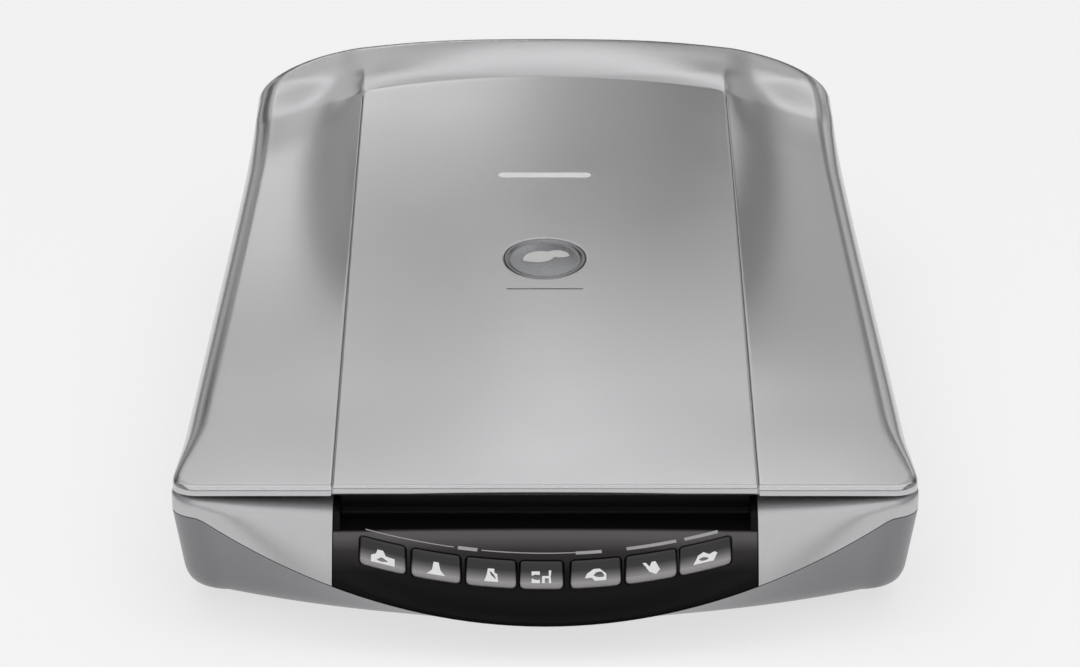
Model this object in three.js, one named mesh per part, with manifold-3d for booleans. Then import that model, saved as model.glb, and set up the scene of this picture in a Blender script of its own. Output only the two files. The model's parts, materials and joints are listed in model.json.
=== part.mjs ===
// Flatbed document scanner with a sculpted lid, a row of seven front buttons and a belt-driven scan head.
// Millimetres, +Z up, X to the right of somebody facing the buttons, +Y towards the hinges.
// The origin is the middle of the footprint, on the surface that the scanner stands on.
import * as THREE from "three";
import { mergeVertices } from "three/addons/utils/BufferGeometryUtils.js";
import Module from "manifold-3d";

const wasm = await Module();
wasm.setup();

// ---------------------------------------------------------------- driving dimensions

const FRONT_Y = -238; // foremost point of the chin
const BASE_BACK_Y = 225;
const LID_FRONT_Y = -208;
const LID_BACK_Y = 238;
const FRONT_HALF = 136; // half width of lid and base at the front
const BACK_HALF = 121; // and at the back, because both taper
const WALL = 2.5; // moulded wall thickness
const GAP = 0.3; // between pieces that touch in life

const FOOT_HEIGHT = 5;
const FLOOR_TOP = 7.4; // inside face of the bottom tray
const DECK_Z = 50; // top face of the base frame
const DECK_SHEET = 2.4;
const DECK_LAND = 13; // from the base's outer edge to the flat of its deck
const CHIN_Z = 13; // lowest point of the front crease
const CREASE_CURL = 0.0018; // the crease climbs by this times x squared
const SIDE_PARTING_Z = 42; // upper and lower case meet here along the sides and back
const FRONT_BOW = 260; // plan radius of the bowed front
const FACE_SWELL = 1.5; // the front faces swell this much between deck edge and crease

const PANEL_HALF = 77; // half width of the control panel, and of the lid's centre panel above it
const RECESS = { halfX: 74.2, backY: -200, z: 41 }; // finger recess under the lid's front edge

const LID_FRONT_Z = 55; // top of the lid along its front edge
const LID_RISE = 29; // from there to the back end of the centre panel
const LID_UNDER_Z = 51.3; // lower edge of the lid's side walls
const LID_SHELL = 3.4;
const PANEL_BACK_Y = 196; // back edge of the lid's centre panel, at x = 0
const PANEL_BACK_BOW = 205;
const LID_BACK_BOW = 700;
const LID_CORNER = { across: 43, along: 44, power: 1.7 }; // the lid's round back corners
const WING_SCOOP = 7; // depth of the hollows beside the panel's back end
const DECK_RISE = 7.2; // the lid climbs this much more behind its centre panel
const DECK_RUN_IN = 46; // over the wings this climb starts so much earlier, and softly
const DECK_FLAT = 30; // half width of the level middle of the deck, whose ends curl down to the wings
const LID_SHOULDER = 9; // edge rounding of the lid's sides and back
const PANEL_SHEET = 1.5;
const PANEL_PROUD = 0.4;
const LID_TAIL_Z = 64; // the lid's back wall stops here, so that it clears the base as it opens

const WINDOW = { halfX: 109.5, halfY: 150 };
const GLASS = { halfX: 114, halfY: 154, thick: 2.8 };
const GLASS_TOP = DECK_Z - DECK_SHEET - GAP;

// White reference strip in front of the window.
const STRIP = { halfX: 105, front: -163, back: -155, thick: 1.2 };

const FEET = [
  [-98, -168],
  [98, -168],
  [-94, 186],
  [94, 186],
];
const FOOT_RADIUS = 9;
const BOSSES = [
  [-116, -165],
  [116, -165],
  [-98.4, 203.4],
  [98.4, 203.4],
];
const BOSS = { radius: 3.4, bore: 1.6, boreDepth: 14, bottom: 9 }; // screw bosses under the deck
const SCREW = { head: 3.2, headHeight: 1.7, shank: 1.2, length: 13, hole: 1.9 };

const IO_PLATE = { x0: -6, x1: 56, z: 15.2 }; // the plate at the back that carries the sockets
const USB = { x: 8, z: 24, width: 12, height: 11, front: 208 };
const USB_MOUTH = { halfX: 4.2, halfZ: 3.9, depth: 12 };
const USB_TONGUE = { halfX: 2.8, low: 0.6, high: 3.4, front: 13, back: 3 };
const JACK = { x: 40, z: 23.5, width: 10, height: 11, front: 210, mouth: 3.2, pin: 1 };
const SOCKET_SET_BACK = 0.4;
const MAIN_BOARD = { x0: -34, x1: 66, y0: 202.5, y1: 218.5, top: 17.6 };
const BOARD_THICK = 1.6;

const HINGE = { x: 85, y: 217, z: 58, pinRadius: 2, barrelRadius: 4, postHalfX: 8, postHalfY: 3.6 };
const POST_FOOT_Z = 23; // lower end of the hinge posts
const CHANNEL = { halfX: 8.4, front: 4, back: 4 }; // the shafts in which the posts slide
const SOCKET_FLOOR = { outside: 19.6, inside: 22 };
const LEAF = { gap: 1, ear: 3, footHalfX: 12, footFront: 188, footBack: 204, footTop: 57 };

const LOCK = { x: 72, y: -178, travel: 8, slotHalf: 4.5, top: 21.5 }; // transport lock
const LOCK_PLATE = { halfX: 7, front: 12, back: 8, thick: 1.5 };

const CARRIAGE = { left: -107, right: 104, front: -168, depth: 56, bottom: 15, top: 36, wall: 2 };
const SLEEVE_RADIUS = 6; // of the carriage, round the guide rod
const SLIDE_GAP = 0.35;
const JAW = { front: -146, back: -134, low: 8.8, high: 16, thick: 2.2 }; // the carriage's grip on the belt
const LAMP = { y: -159.6, radius: 2.6, length: 196, rise: 4.1 };
const REFLECTOR = { front: -166.6, back: -153, sheet: 0.8, top: 43 };
const MIRROR_LENGTH = 178;
const MIRROR_THICK = 1.8;
const MIRRORS = [
  { y: -152.5, z: 27, width: 12, turn: 0.78 },
  { y: -119.5, z: 24, width: 10, turn: -0.6 },
];
const LENS = { y: -129, z: 27 };
const LENS_SECTION = [
  [0, 0.6],
  [6.6, 0.6],
  [6.6, 5],
  [8, 5],
  [8, 16],
  [5.4, 16],
  [5.4, 14.6],
  [0, 14.6],
];
const SENSOR_BOARD = { halfX: 40, y: -127.4, low: 18, high: 35 };
const INVERTER_BOARD = { x0: 64, x1: 100, y0: -145, y1: -128, z: 19.6 };

const ROD = { x: -88, z: 21.5, radius: 3, front: -190, back: 206 };
const CLIP = { halfX: 6, top: 5.5 }; // holders of the guide rod
const RAIL = { left: 105.3, right: 108.3, front: -150, back: 186, top: 17 };
const BELT = { x: -60, front: -186, back: 203, pulley: 5, thick: 1.1, low: 9.2, high: 13 };
const FLANGE = { reach: 1.8, thick: 0.5, gap: 0.1 }; // of both pulleys
const MOTOR = { radius: 13, low: 15.9, high: 33, edge: 1, shaft: 1.4, shaftTop: 19 };
const BRACKET = { halfX: 19, front: 8, back: 13, low: 14.4, high: 15.6, leg: 2 };
const IDLER = { bore: 1.9, axle: 1.5, axleHeight: 7, halfX: 9, front: 10, back: 6 };
const SPRING_ANCHOR_Y = 176;
const SPRING = { coil: 1.7, wire: 0.35, z: 11, turns: 5 };
const RIBBON = { x0: 12, x1: 30 };
const RIBBON_PATH = [
  [212, 15.3],
  [196, 15.3],
  [190, 13.2],
  [184, 8.7],
  [10, 8.7],
  [7, 9.6],
  [6.4, 11],
  [7, 12.4],
  [10, 13.3],
  [60, 13.3],
  [60, 12.8],
  [10.2, 12.8],
  [7.6, 12.1],
  [7, 11],
  [7.6, 9.9],
  [10.2, 9.2],
  [183.8, 9.2],
  [189.6, 13.7],
  [195.8, 15.8],
  [212, 15.8],
]; // (y, z) section of the ribbon cable: along the tray and back in one fold

const BADGE = { y: -5.6, halfX: 16, halfY: 20, depth: 0.9, proud: 0.4 };
const LINER = { low: 52, high: 54.2, front: -184, back: 206 };
const PAD = { halfX: 107, halfY: 147 };
const MAT = { halfX: 108, halfY: 148.4, thick: 1 };
const BUMPER = { x: 112, y: -178, radius: 4 };
const ARCH_RISE = 1.3; // of the lid's lower front edge, over the finger recess

const KEY_CENTRE = { y: -225.3, z: 27 }; // the middle of the button row, on the control panel's face
const KEY_TILT = 0.834; // slope of that face
const KEY_CURL = 0.0022; // the row climbs by this times x squared
const KEY_HALF_HEIGHT = 5.2;
const KEY_PROUD = 0.8;
const KEYS = [
  [-66.9, -50.4],
  [-48.2, -30.6],
  [-28.5, -10.5],
  [-9.1, 6.4],
  [9.2, 27.2],
  [29, 47.3],
  [48.4, 67],
];

// ---------------------------------------------------------------- shared maths

const clamp = (value) => Math.min(1, Math.max(0, value));
const lerp = (from, to, t) => from + (to - from) * t;
const smooth = (from, to, value) => {
  const t = clamp((value - from) / (to - from));
  return t * t * (3 - 2 * t);
};
const bowed = (radius) => (x) => radius - Math.sqrt(radius * radius - x * x);
const frontBow = bowed(FRONT_BOW);
const lidBackBow = bowed(LID_BACK_BOW);
const panelBackBow = bowed(PANEL_BACK_BOW);
const spread = (from, to, steps) =>
  Array.from({ length: steps + 1 }, (_, i) => lerp(from, to, i / steps));

// ---------------------------------------------------------------- solids

function toSolid(geometry) {
  const bare = geometry.clone();
  for (const name of Object.keys(bare.attributes)) {
    if (name !== "position") bare.deleteAttribute(name);
  }
  const merged = mergeVertices(bare, 1e-4);
  return new wasm.Manifold(
    new wasm.Mesh({
      numProp: 3,
      vertProperties: merged.attributes.position.array,
      triVerts: new Uint32Array(merged.index.array),
    }),
  );
}

function toGeometry(solid) {
  const { vertProperties, triVerts } = solid.getMesh();
  return new THREE.BufferGeometry()
    .setAttribute("position", new THREE.BufferAttribute(vertProperties, 3))
    .setIndex(new THREE.BufferAttribute(triVerts, 1));
}

const cut = (geometry, ...tools) =>
  toGeometry(tools.reduce((left, tool) => left.subtract(toSolid(tool)), toSolid(geometry)));
const join = (geometry, ...others) =>
  toGeometry(others.reduce((sum, other) => sum.add(toSolid(other)), toSolid(geometry)));
const common = (geometry, other) => toGeometry(toSolid(geometry).intersect(toSolid(other)));

// A box between two corners.
function block(x0, x1, y0, y1, z0, z1) {
  return new THREE.BoxGeometry(x1 - x0, y1 - y0, z1 - z0).translate(
    (x0 + x1) / 2,
    (y0 + y1) / 2,
    (z0 + z1) / 2,
  );
}

// A cylinder centred on the origin, along "x", "y" or "z".
function cylinder(radius, length, axis, sides = 24) {
  const made = new THREE.CylinderGeometry(radius, radius, length, sides);
  if (axis === "x") made.rotateZ(Math.PI / 2);
  if (axis === "z") made.rotateX(Math.PI / 2);
  return made;
}

// A plan outline extruded from z0 to z1.
function prism(points, z0, z1) {
  const shape = new THREE.Shape(points.map(([x, y]) => new THREE.Vector2(x, y)));
  return new THREE.ExtrudeGeometry(shape, { depth: z1 - z0, bevelEnabled: false }).translate(0, 0, z0);
}

// A section in the (radius, height) plane turned about Z. It starts and ends on the axis, or closes on itself.
function turned(section, sides) {
  const points = section.map(([r, z]) => new THREE.Vector2(r, z));
  return new THREE.LatheGeometry(points, sides).rotateX(Math.PI / 2);
}

// A (y, z) outline extruded along X.
function sideways(points, x0, x1) {
  const shape = new THREE.Shape(points.map(([y, z]) => new THREE.Vector2(y, z)));
  return new THREE.ExtrudeGeometry(shape, { depth: x1 - x0, bevelEnabled: false })
    .rotateX(Math.PI / 2)
    .rotateZ(Math.PI / 2)
    .translate(x0, 0, 0);
}

// An (x, z) outline extruded along Y.
function acrossY(points, y0, y1) {
  const shape = new THREE.Shape(points.map(([x, z]) => new THREE.Vector2(x, z)));
  return new THREE.ExtrudeGeometry(shape, { depth: y1 - y0, bevelEnabled: false })
    .rotateX(Math.PI / 2)
    .translate(0, y1, 0);
}

const point2 = (radius, angle) => new THREE.Vector2(radius * Math.cos(angle), radius * Math.sin(angle));

// A long loop round two pulleys at (x, y0) and (x, y1).
function stadium(x, y0, y1, radius, steps) {
  const half = (y, from) =>
    spread(from, from + Math.PI, steps).map((a) => point2(radius, a).add(new THREE.Vector2(x, y)));
  return [...half(y1, 0), ...half(y0, Math.PI)];
}

// A skin through rings of equal length. It closes on itself when closed is true, and is capped at both ends otherwise.
// flat(point) gives the two coordinates in which the end caps are triangulated.
function loft(rings, { closed = false, flat = (p) => [p[0], p[1]] } = {}) {
  const size = rings[0].length;
  const positions = rings.flat(2);
  const triangles = [];
  const bands = closed ? rings.length : rings.length - 1;
  for (let r = 0; r < bands; r++) {
    const next = (r + 1) % rings.length;
    for (let i = 0; i < size; i++) {
      const j = (i + 1) % size;
      const [a, b, c, d] = [r * size + i, r * size + j, next * size + j, next * size + i];
      triangles.push(a, b, c, a, c, d);
    }
  }
  if (!closed) {
    const last = (rings.length - 1) * size;
    const faces = (ring) =>
      THREE.ShapeUtils.triangulateShape(
        ring.map((p) => new THREE.Vector2(...flat(p))),
        [],
      );
    for (const [a, b, c] of faces(rings[0])) triangles.push(a, c, b);
    for (const [a, b, c] of faces(rings.at(-1))) triangles.push(last + a, last + b, last + c);
  }
  return new THREE.BufferGeometry()
    .setAttribute("position", new THREE.BufferAttribute(new Float32Array(positions), 3))
    .setIndex(triangles);
}

// Everything under a surface: columns[i][j] is a point of the surface, and floorZ is the flat underside.
function under(columns, floorZ) {
  const across = columns.length;
  const along = columns[0].length;
  const positions = columns.flat(2);
  const top = (i, j) => i * along + j;
  const triangles = [];
  for (let i = 0; i + 1 < across; i++) {
    for (let j = 0; j + 1 < along; j++) {
      triangles.push(top(i, j), top(i + 1, j), top(i + 1, j + 1));
      triangles.push(top(i, j), top(i + 1, j + 1), top(i, j + 1));
    }
  }
  const rim = [
    ...spread(0, across - 2, across - 2).map((i) => top(i, 0)),
    ...spread(0, along - 2, along - 2).map((j) => top(across - 1, j)),
    ...spread(across - 1, 1, across - 2).map((i) => top(i, along - 1)),
    ...spread(along - 1, 1, along - 2).map((j) => top(0, j)),
  ];
  const first = positions.length / 3;
  for (const at of rim) positions.push(positions[at * 3], positions[at * 3 + 1], floorZ);
  const centre = positions.length / 3;
  positions.push(0, 0, floorZ);
  rim.forEach((at, i) => {
    const next = (i + 1) % rim.length;
    triangles.push(at, first + i, first + next, at, first + next, rim[next]);
    triangles.push(centre, first + next, first + i);
  });
  return new THREE.BufferGeometry()
    .setAttribute("position", new THREE.BufferAttribute(new Float32Array(positions), 3))
    .setIndex(triangles);
}

// ---------------------------------------------------------------- materials

const paint = (name, color, roughness, metalness) =>
  new THREE.MeshStandardMaterial({ name, color, roughness, metalness });
const SILVER = paint("silver_paint", 0xb2b3b6, 0.35, 0.6);
const CASE_SILVER = paint("case_silver", 0x9b9ca1, 0.4, 0.5);
const GLOSS_BLACK = paint("gloss_black", 0x141213, 0.15, 0);
const BUTTON_SMOKE = paint("button_smoke", 0x4a4849, 0.25, 0.2);
const BADGE_METAL = paint("badge_metal", 0x8c8e92, 0.25, 0.9);
const DARK_PLASTIC = paint("dark_plastic", 0x2a2b2d, 0.6, 0);
const LINER_PLASTIC = paint("liner_plastic", 0x3a3b3e, 0.6, 0);
const WHITE_SHEET = paint("white_sheet", 0xf2f2f0, 0.7, 0);
const FOAM = paint("foam", 0x6a6a6c, 0.95, 0);
const GLASS_CLEAR = paint("platen_glass", 0xdfe8e6, 0.05, 0);
const MIRROR = paint("mirror_glass", 0xd8dde0, 0.05, 1);
const STEEL = paint("steel", 0xa9abad, 0.3, 1);
const BRASS = paint("brass", 0xb08d4a, 0.35, 1);
const RUBBER = paint("rubber", 0x1b1b1c, 0.9, 0);
const BELT_RUBBER = paint("belt_rubber", 0x222223, 0.8, 0);
const WHITE_PLASTIC = paint("white_plastic", 0xe4e2da, 0.5, 0);
const BOARD_GREEN = paint("circuit_board", 0x1f5a37, 0.5, 0);
const LAMP_TUBE = paint("lamp_tube", 0xf4f4ee, 0.2, 0);
const RIBBON_FILM = paint("ribbon_cable", 0xd9d9d4, 0.4, 0);

const scanner = new THREE.Group();

// Adds a named piece, at a place and turned about the row's axes.
function piece(name, geometry, material, place = [0, 0, 0], turn = [0, 0, 0]) {
  const mesh = new THREE.Mesh(geometry, material);
  mesh.name = name;
  mesh.position.set(...place);
  mesh.rotation.set(...turn);
  scanner.add(mesh);
  return mesh;
}

// ---------------------------------------------------------------- plan outlines

const STEPS = { front: 9, corner: 4, side: 4, back: 4 };

// Counter-clockwise plan outline, alike left and right: a bowed front edge, sides that taper towards the back, a bowed
// back edge and round corners. Every outline has the same number of points, so any two can be lofted.
function outline({ frontY, backY, inset = 0, frontHalf, backHalf, bow, backBow, frontRadius, backRadius }) {
  const fh = frontHalf - inset;
  const bh = backHalf - inset;
  const fr = Math.max(1, frontRadius - inset);
  const br = Math.max(1, backRadius - inset);
  const frontCorner = [fh - fr, frontY + inset + bow(fh - fr) + fr];
  const backCorner = [bh - br, backY - inset - backBow(bh - br) - br];
  const arc = ([cx, cy], radius, from) =>
    spread(from, from + Math.PI / 2, STEPS.corner)
      .slice(1)
      .map((angle) => [cx + radius * Math.cos(angle), cy + radius * Math.sin(angle)]);
  const right = [
    ...spread(0, fh - fr, STEPS.front).map((x) => [x, frontY + inset + bow(x)]),
    ...arc(frontCorner, fr, -Math.PI / 2),
    ...spread(0, 1, STEPS.side)
      .slice(1)
      .map((t) => [fh + (bh - fh) * t, frontCorner[1] + (backCorner[1] - frontCorner[1]) * t]),
    ...arc(backCorner, br, 0),
    ...spread(bh - br, 0, STEPS.back)
      .slice(1)
      .map((x) => [x, backY - inset - backBow(x)]),
  ];
  const left = right
    .slice(1, -1)
    .reverse()
    .map(([x, y]) => [-x, y]);
  return [...right, ...left];
}

const level = (z) => () => z;
const straight = () => 0;
const ring = (shape, height) => outline(shape).map(([x, y]) => [x, y, height(x, y)]);

// The window, with as many points as an outline.
const WINDOW_SHAPE = {
  frontY: -WINDOW.halfY,
  backY: WINDOW.halfY,
  frontHalf: WINDOW.halfX,
  backHalf: WINDOW.halfX,
  bow: straight,
  backBow: straight,
  frontRadius: 2,
  backRadius: 2,
};
const BASE_SHAPE = {
  frontHalf: FRONT_HALF,
  backHalf: BACK_HALF,
  backY: BASE_BACK_Y,
  backBow: straight,
  frontRadius: 12,
  backRadius: 26,
};
const DECK_EDGE = { ...BASE_SHAPE, frontY: LID_FRONT_Y - 1, bow: straight };
const PANEL_LAND_Y = LID_FRONT_Y - 1 + DECK_LAND;
const CREASE = { ...BASE_SHAPE, frontY: FRONT_Y, bow: frontBow };
const BOTTOM_EDGE = {
  ...CREASE,
  frontHalf: FRONT_HALF - 4,
  backHalf: BACK_HALF - 3,
  frontY: FRONT_Y + 18,
  backY: BASE_BACK_Y - 3,
};
const FLOOR_EDGE = {
  ...BOTTOM_EDGE,
  frontHalf: FRONT_HALF - 12,
  backHalf: BACK_HALF - 11,
  frontY: FRONT_Y + 28,
  backY: BASE_BACK_Y - 11,
};

// How far a plan point belongs to the front edge: 1 on it, 0 once round the corner.
const frontShare = (y) => 1 - smooth(LID_FRONT_Y + 2, LID_FRONT_Y + 14, y);
const deckEdgeHeight = (x, y) => {
  const dipped = DECK_Z - 5 + 0.0003 * x * x;
  return Math.min(DECK_Z, dipped + (DECK_Z - dipped) * (1 - frontShare(y)));
};
const creaseHeight = (x, y) => {
  const curled = Math.min(SIDE_PARTING_Z, CHIN_Z + CREASE_CURL * x * x);
  return curled + (SIDE_PARTING_Z - curled) * smooth(-206, -190, y);
};
const trayRim = (x, y) => creaseHeight(x, y) - GAP / 2;

// ---------------------------------------------------------------- base: upper case, glass and bottom tray

const caseFoot = (x, y) => creaseHeight(x, y) + GAP / 2;

// A ring halfway between the deck edge and the crease.
function midway(inset) {
  const upper = outline({ ...DECK_EDGE, inset });
  const lower = outline({ ...CREASE, inset });
  return upper.map(([x, y], i) => {
    const [u, v] = lower[i];
    const swell = FACE_SWELL * frontShare(y);
    const z = (deckEdgeHeight(x, y) + caseFoot(u, v)) / 2;
    return [(x + u) / 2, (y + v) / 2 - swell, z + swell];
  });
}

const DECK_RIM = { ...DECK_EDGE, inset: DECK_LAND };

function upperCase() {
  const shell = loft(
    [
      ring(CREASE, caseFoot),
      midway(0),
      ring(DECK_EDGE, deckEdgeHeight),
      ring(DECK_RIM, level(DECK_Z)),
      ring(WINDOW_SHAPE, level(DECK_Z)),
      ring(WINDOW_SHAPE, level(DECK_Z - DECK_SHEET)),
      ring(DECK_RIM, level(DECK_Z - DECK_SHEET)),
      ring({ ...DECK_EDGE, inset: WALL }, (x, y) => deckEdgeHeight(x, y) - DECK_SHEET),
      midway(WALL),
      ring({ ...CREASE, inset: WALL }, caseFoot),
    ],
    { closed: true },
  );
  const bossTop = DECK_Z - 1;
  const bosses = BOSSES.map(([x, y]) =>
    cylinder(BOSS.radius, bossTop - BOSS.bottom, "z", 12).translate(x, y, (bossTop + BOSS.bottom) / 2),
  );
  const boreDepth = 2 * BOSS.boreDepth;
  const bores = BOSSES.map(([x, y]) => cylinder(BOSS.bore, boreDepth, "z", 10).translate(x, y, BOSS.bottom));
  const mouth = block(-PANEL_HALF, PANEL_HALF, FRONT_Y - 5, PANEL_LAND_Y, 0, DECK_Z + 5);
  const slots = [-HINGE.x, HINGE.x].map((x) =>
    block(
      x - CHANNEL.halfX, x + CHANNEL.halfX, HINGE.y - CHANNEL.front, HINGE.y + CHANNEL.back, DECK_Z - 8, DECK_Z + 5,
    ),
  );
  return cut(join(shell, ...bosses), mouth, ...slots, ...bores);
}

const trayShell = () =>
  loft([
    ring(FLOOR_EDGE, level(FOOT_HEIGHT)),
    ring(BOTTOM_EDGE, level(FOOT_HEIGHT + 3)),
    ring(CREASE, trayRim),
    ring({ ...CREASE, inset: WALL }, trayRim),
    ring({ ...BOTTOM_EDGE, inset: WALL }, level(FLOOR_TOP + 3)),
    ring({ ...FLOOR_EDGE, inset: WALL }, level(FLOOR_TOP)),
  ]);

// A box as wide and high as a socket and a margin, between two depths.
const socketBox = ({ x, z, width, height }, margin, y0, y1) => {
  const [halfX, halfZ] = [width / 2 + margin, height / 2 + margin];
  return block(x - halfX, x + halfX, y0, y1, z - halfZ, z + halfZ);
};

// The part of the tray's back wall that is the socket plate. margin makes it smaller on each side.
const ioPlateBlock = (margin) =>
  block(
    IO_PLATE.x0 + margin, IO_PLATE.x1 - margin, BASE_BACK_Y - 12, BASE_BACK_Y + 5, IO_PLATE.z + margin, DECK_Z,
  );

function ioPlate() {
  const port = (socket) => socketBox(socket, 1, BASE_BACK_Y - 8, BASE_BACK_Y + 5);
  return cut(common(trayShell(), ioPlateBlock(GAP)), port(USB), port(JACK));
}

function bottomTray() {
  const { x: lockX, y: lockY, travel, slotHalf } = LOCK;
  const lockSlot = block(lockX - slotHalf, lockX + slotHalf, lockY - 5, lockY + 5 + travel, 0, FLOOR_TOP + 1);
  const screwHoles = BOSSES.map(([x, y]) => cylinder(SCREW.hole, 20, "z", 10).translate(x, y, FLOOR_TOP));
  const anchor = cylinder(1.6, 5, "z", 10).translate(BELT.x, SPRING_ANCHOR_Y, FLOOR_TOP + 2);
  return cut(join(trayShell(), anchor), ioPlateBlock(0), lockSlot, ...screwHoles);
}

function addCase() {
  piece("upper_case", upperCase(), SILVER);
  piece("lower_case", bottomTray(), CASE_SILVER);
  const { halfX, halfY, thick } = GLASS;
  const glass = block(-halfX, halfX, -halfY, halfY, GLASS_TOP - thick, GLASS_TOP);
  piece("platen_glass", glass, GLASS_CLEAR);
  const strip = block(-STRIP.halfX, STRIP.halfX, STRIP.front, STRIP.back, GLASS_TOP - STRIP.thick, GLASS_TOP);
  piece("calibration_strip", strip, WHITE_SHEET);
  const footSection = [
    [0, 0],
    [FOOT_RADIUS - 0.8, 0],
    [FOOT_RADIUS, 1],
    [FOOT_RADIUS, FOOT_HEIGHT - GAP],
    [0, FOOT_HEIGHT - GAP],
  ];
  for (const [i, [x, y]] of FEET.entries()) {
    piece("foot_" + (i + 1), turned(footSection, 20), RUBBER, [x, y, 0]);
  }
  const screwSection = [
    [0, -SCREW.headHeight],
    [SCREW.head, -SCREW.headHeight],
    [SCREW.head, 0],
    [SCREW.shank, 0],
    [SCREW.shank, SCREW.length],
    [0, SCREW.length],
  ];
  for (const [i, [x, y]] of BOSSES.entries()) {
    piece("case_screw_" + (i + 1), turned(screwSection, 12), STEEL, [x, y, FOOT_HEIGHT - 0.1]);
  }
}

// ---------------------------------------------------------------- front: control panel and buttons

// The solid body inside the case's front faces.
function frontBody(inset, drop = 0) {
  const sheet = inset ? DECK_SHEET : 0;
  return loft([
    ring({ ...CREASE, inset }, (x, y) => caseFoot(x, y) - drop),
    midway(inset),
    ring({ ...DECK_EDGE, inset }, (x, y) => deckEdgeHeight(x, y) - sheet),
    ring(DECK_RIM, level(DECK_Z - sheet)),
  ]);
}

// An outline that follows the button row, in the plane of the row: a rounded bar bent to the row's curl.
function rowOutline(x0, x1, halfHeight, radius, steps) {
  const bar = [];
  const corner = (cx, cy, from) =>
    spread(from, from + Math.PI / 2, 2).map((a) => [cx + radius * Math.cos(a), cy + radius * Math.sin(a)]);
  bar.push(...corner(x1 - radius, halfHeight - radius, 0));
  bar.push(...spread(x1 - radius, x0 + radius, steps).slice(1, -1).map((x) => [x, halfHeight]));
  bar.push(...corner(x0 + radius, halfHeight - radius, Math.PI / 2));
  bar.push(...corner(x0 + radius, radius - halfHeight, Math.PI));
  bar.push(...spread(x0 + radius, x1 - radius, steps).slice(1, -1).map((x) => [x, -halfHeight]));
  bar.push(...corner(x1 - radius, radius - halfHeight, -Math.PI / 2));
  return bar.map(([x, y]) => [x, y + KEY_CURL * x * x]);
}

// Moves a shape from the button row's plane to its place on the tilted face.
const onFace = (geometry) => geometry.rotateX(KEY_TILT).translate(0, KEY_CENTRE.y, KEY_CENTRE.z);

function addFront() {
  const land = PANEL_LAND_Y - GAP;
  const half = PANEL_HALF - GAP;
  const solidFront = frontBody(0);
  const { halfX, backY, z } = RECESS;
  const liner = common(solidFront, block(-half, half, FRONT_Y - 5, backY + 2, z - WALL, DECK_Z + 5));
  const skin = cut(solidFront, frontBody(WALL, 1));
  const mouth = block(-half, half, FRONT_Y - 5, land, 0, DECK_Z + 5);
  const holes = KEYS.map(([x0, x1]) =>
    onFace(prism(rowOutline(x0 - 0.4, x1 + 0.4, KEY_HALF_HEIGHT + 0.4, 1.9, 2), -9, 9)),
  );
  const recess = block(-halfX, halfX, FRONT_Y - 5, backY, z, DECK_Z + 5);
  piece("control_panel", cut(common(join(skin, liner), mouth), recess, ...holes), GLOSS_BLACK);

  const rise = [0, -KEY_PROUD * Math.sin(KEY_TILT), KEY_PROUD * Math.cos(KEY_TILT)];
  const proud = frontBody(0).translate(...rise);
  KEYS.forEach(([x0, x1], i) => {
    const cap = onFace(prism(rowOutline(x0, x1, KEY_HALF_HEIGHT, 1.5, 2), -5.5, 9));
    piece("button_" + (i + 1), common(cap, proud), BUTTON_SMOKE);
  });
  const board = onFace(prism(rowOutline(-71, 71, 6.2, 2, 6), -10.2, -8.6));
  piece("button_board", board, BOARD_GREEN);
}

// ---------------------------------------------------------------- sockets and boards at the back

function addSockets() {
  const { x0, x1, y0, y1, top } = MAIN_BOARD;
  piece("main_board", block(x0, x1, y0, y1, top - BOARD_THICK, top), BOARD_GREEN);
  piece("io_plate", ioPlate(), CASE_SILVER);

  const shell = (socket) => socketBox(socket, 0, socket.front, BASE_BACK_Y - SOCKET_SET_BACK);
  const { halfX, halfZ, depth } = USB_MOUTH;
  const cavity = block(
    USB.x - halfX, USB.x + halfX, BASE_BACK_Y - depth, BASE_BACK_Y + 1, USB.z - halfZ, USB.z + halfZ,
  );
  const tongue = block(
    USB.x - USB_TONGUE.halfX,
    USB.x + USB_TONGUE.halfX,
    BASE_BACK_Y - USB_TONGUE.front,
    BASE_BACK_Y - USB_TONGUE.back,
    USB.z + USB_TONGUE.low,
    USB.z + USB_TONGUE.high,
  );
  piece("usb_socket", join(cut(shell(USB), cavity), tongue), STEEL);
  const mouth = cylinder(JACK.mouth, 12, "y", 16).translate(JACK.x, BASE_BACK_Y - 5, JACK.z);
  const pin = cylinder(JACK.pin, 10, "y", 10).translate(JACK.x, BASE_BACK_Y - 6.5, JACK.z);
  piece("power_socket", join(cut(shell(JACK), mouth), pin), DARK_PLASTIC);
}

// ---------------------------------------------------------------- transport lock

function addLock() {
  const { x, y, top } = LOCK;
  const { halfX, front, back, thick } = LOCK_PLATE;
  const plate = block(x - halfX, x + halfX, y - front, y + back, FLOOR_TOP + GAP, FLOOR_TOP + GAP + thick);
  const thumb = block(x - 3, x + 3, y - 3, y + 3, FOOT_HEIGHT - 1, FLOOR_TOP + 1);
  const post = block(x - 2, x + 2, y, y + 4, FLOOR_TOP + 1, top);
  const hook = block(x - 2, x + 2, y + 3, y + 7.5, top - 2.8, top);
  piece("transport_lock", join(plate, thumb, post, hook), DARK_PLASTIC);
}

// ---------------------------------------------------------------- scan head

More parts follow.
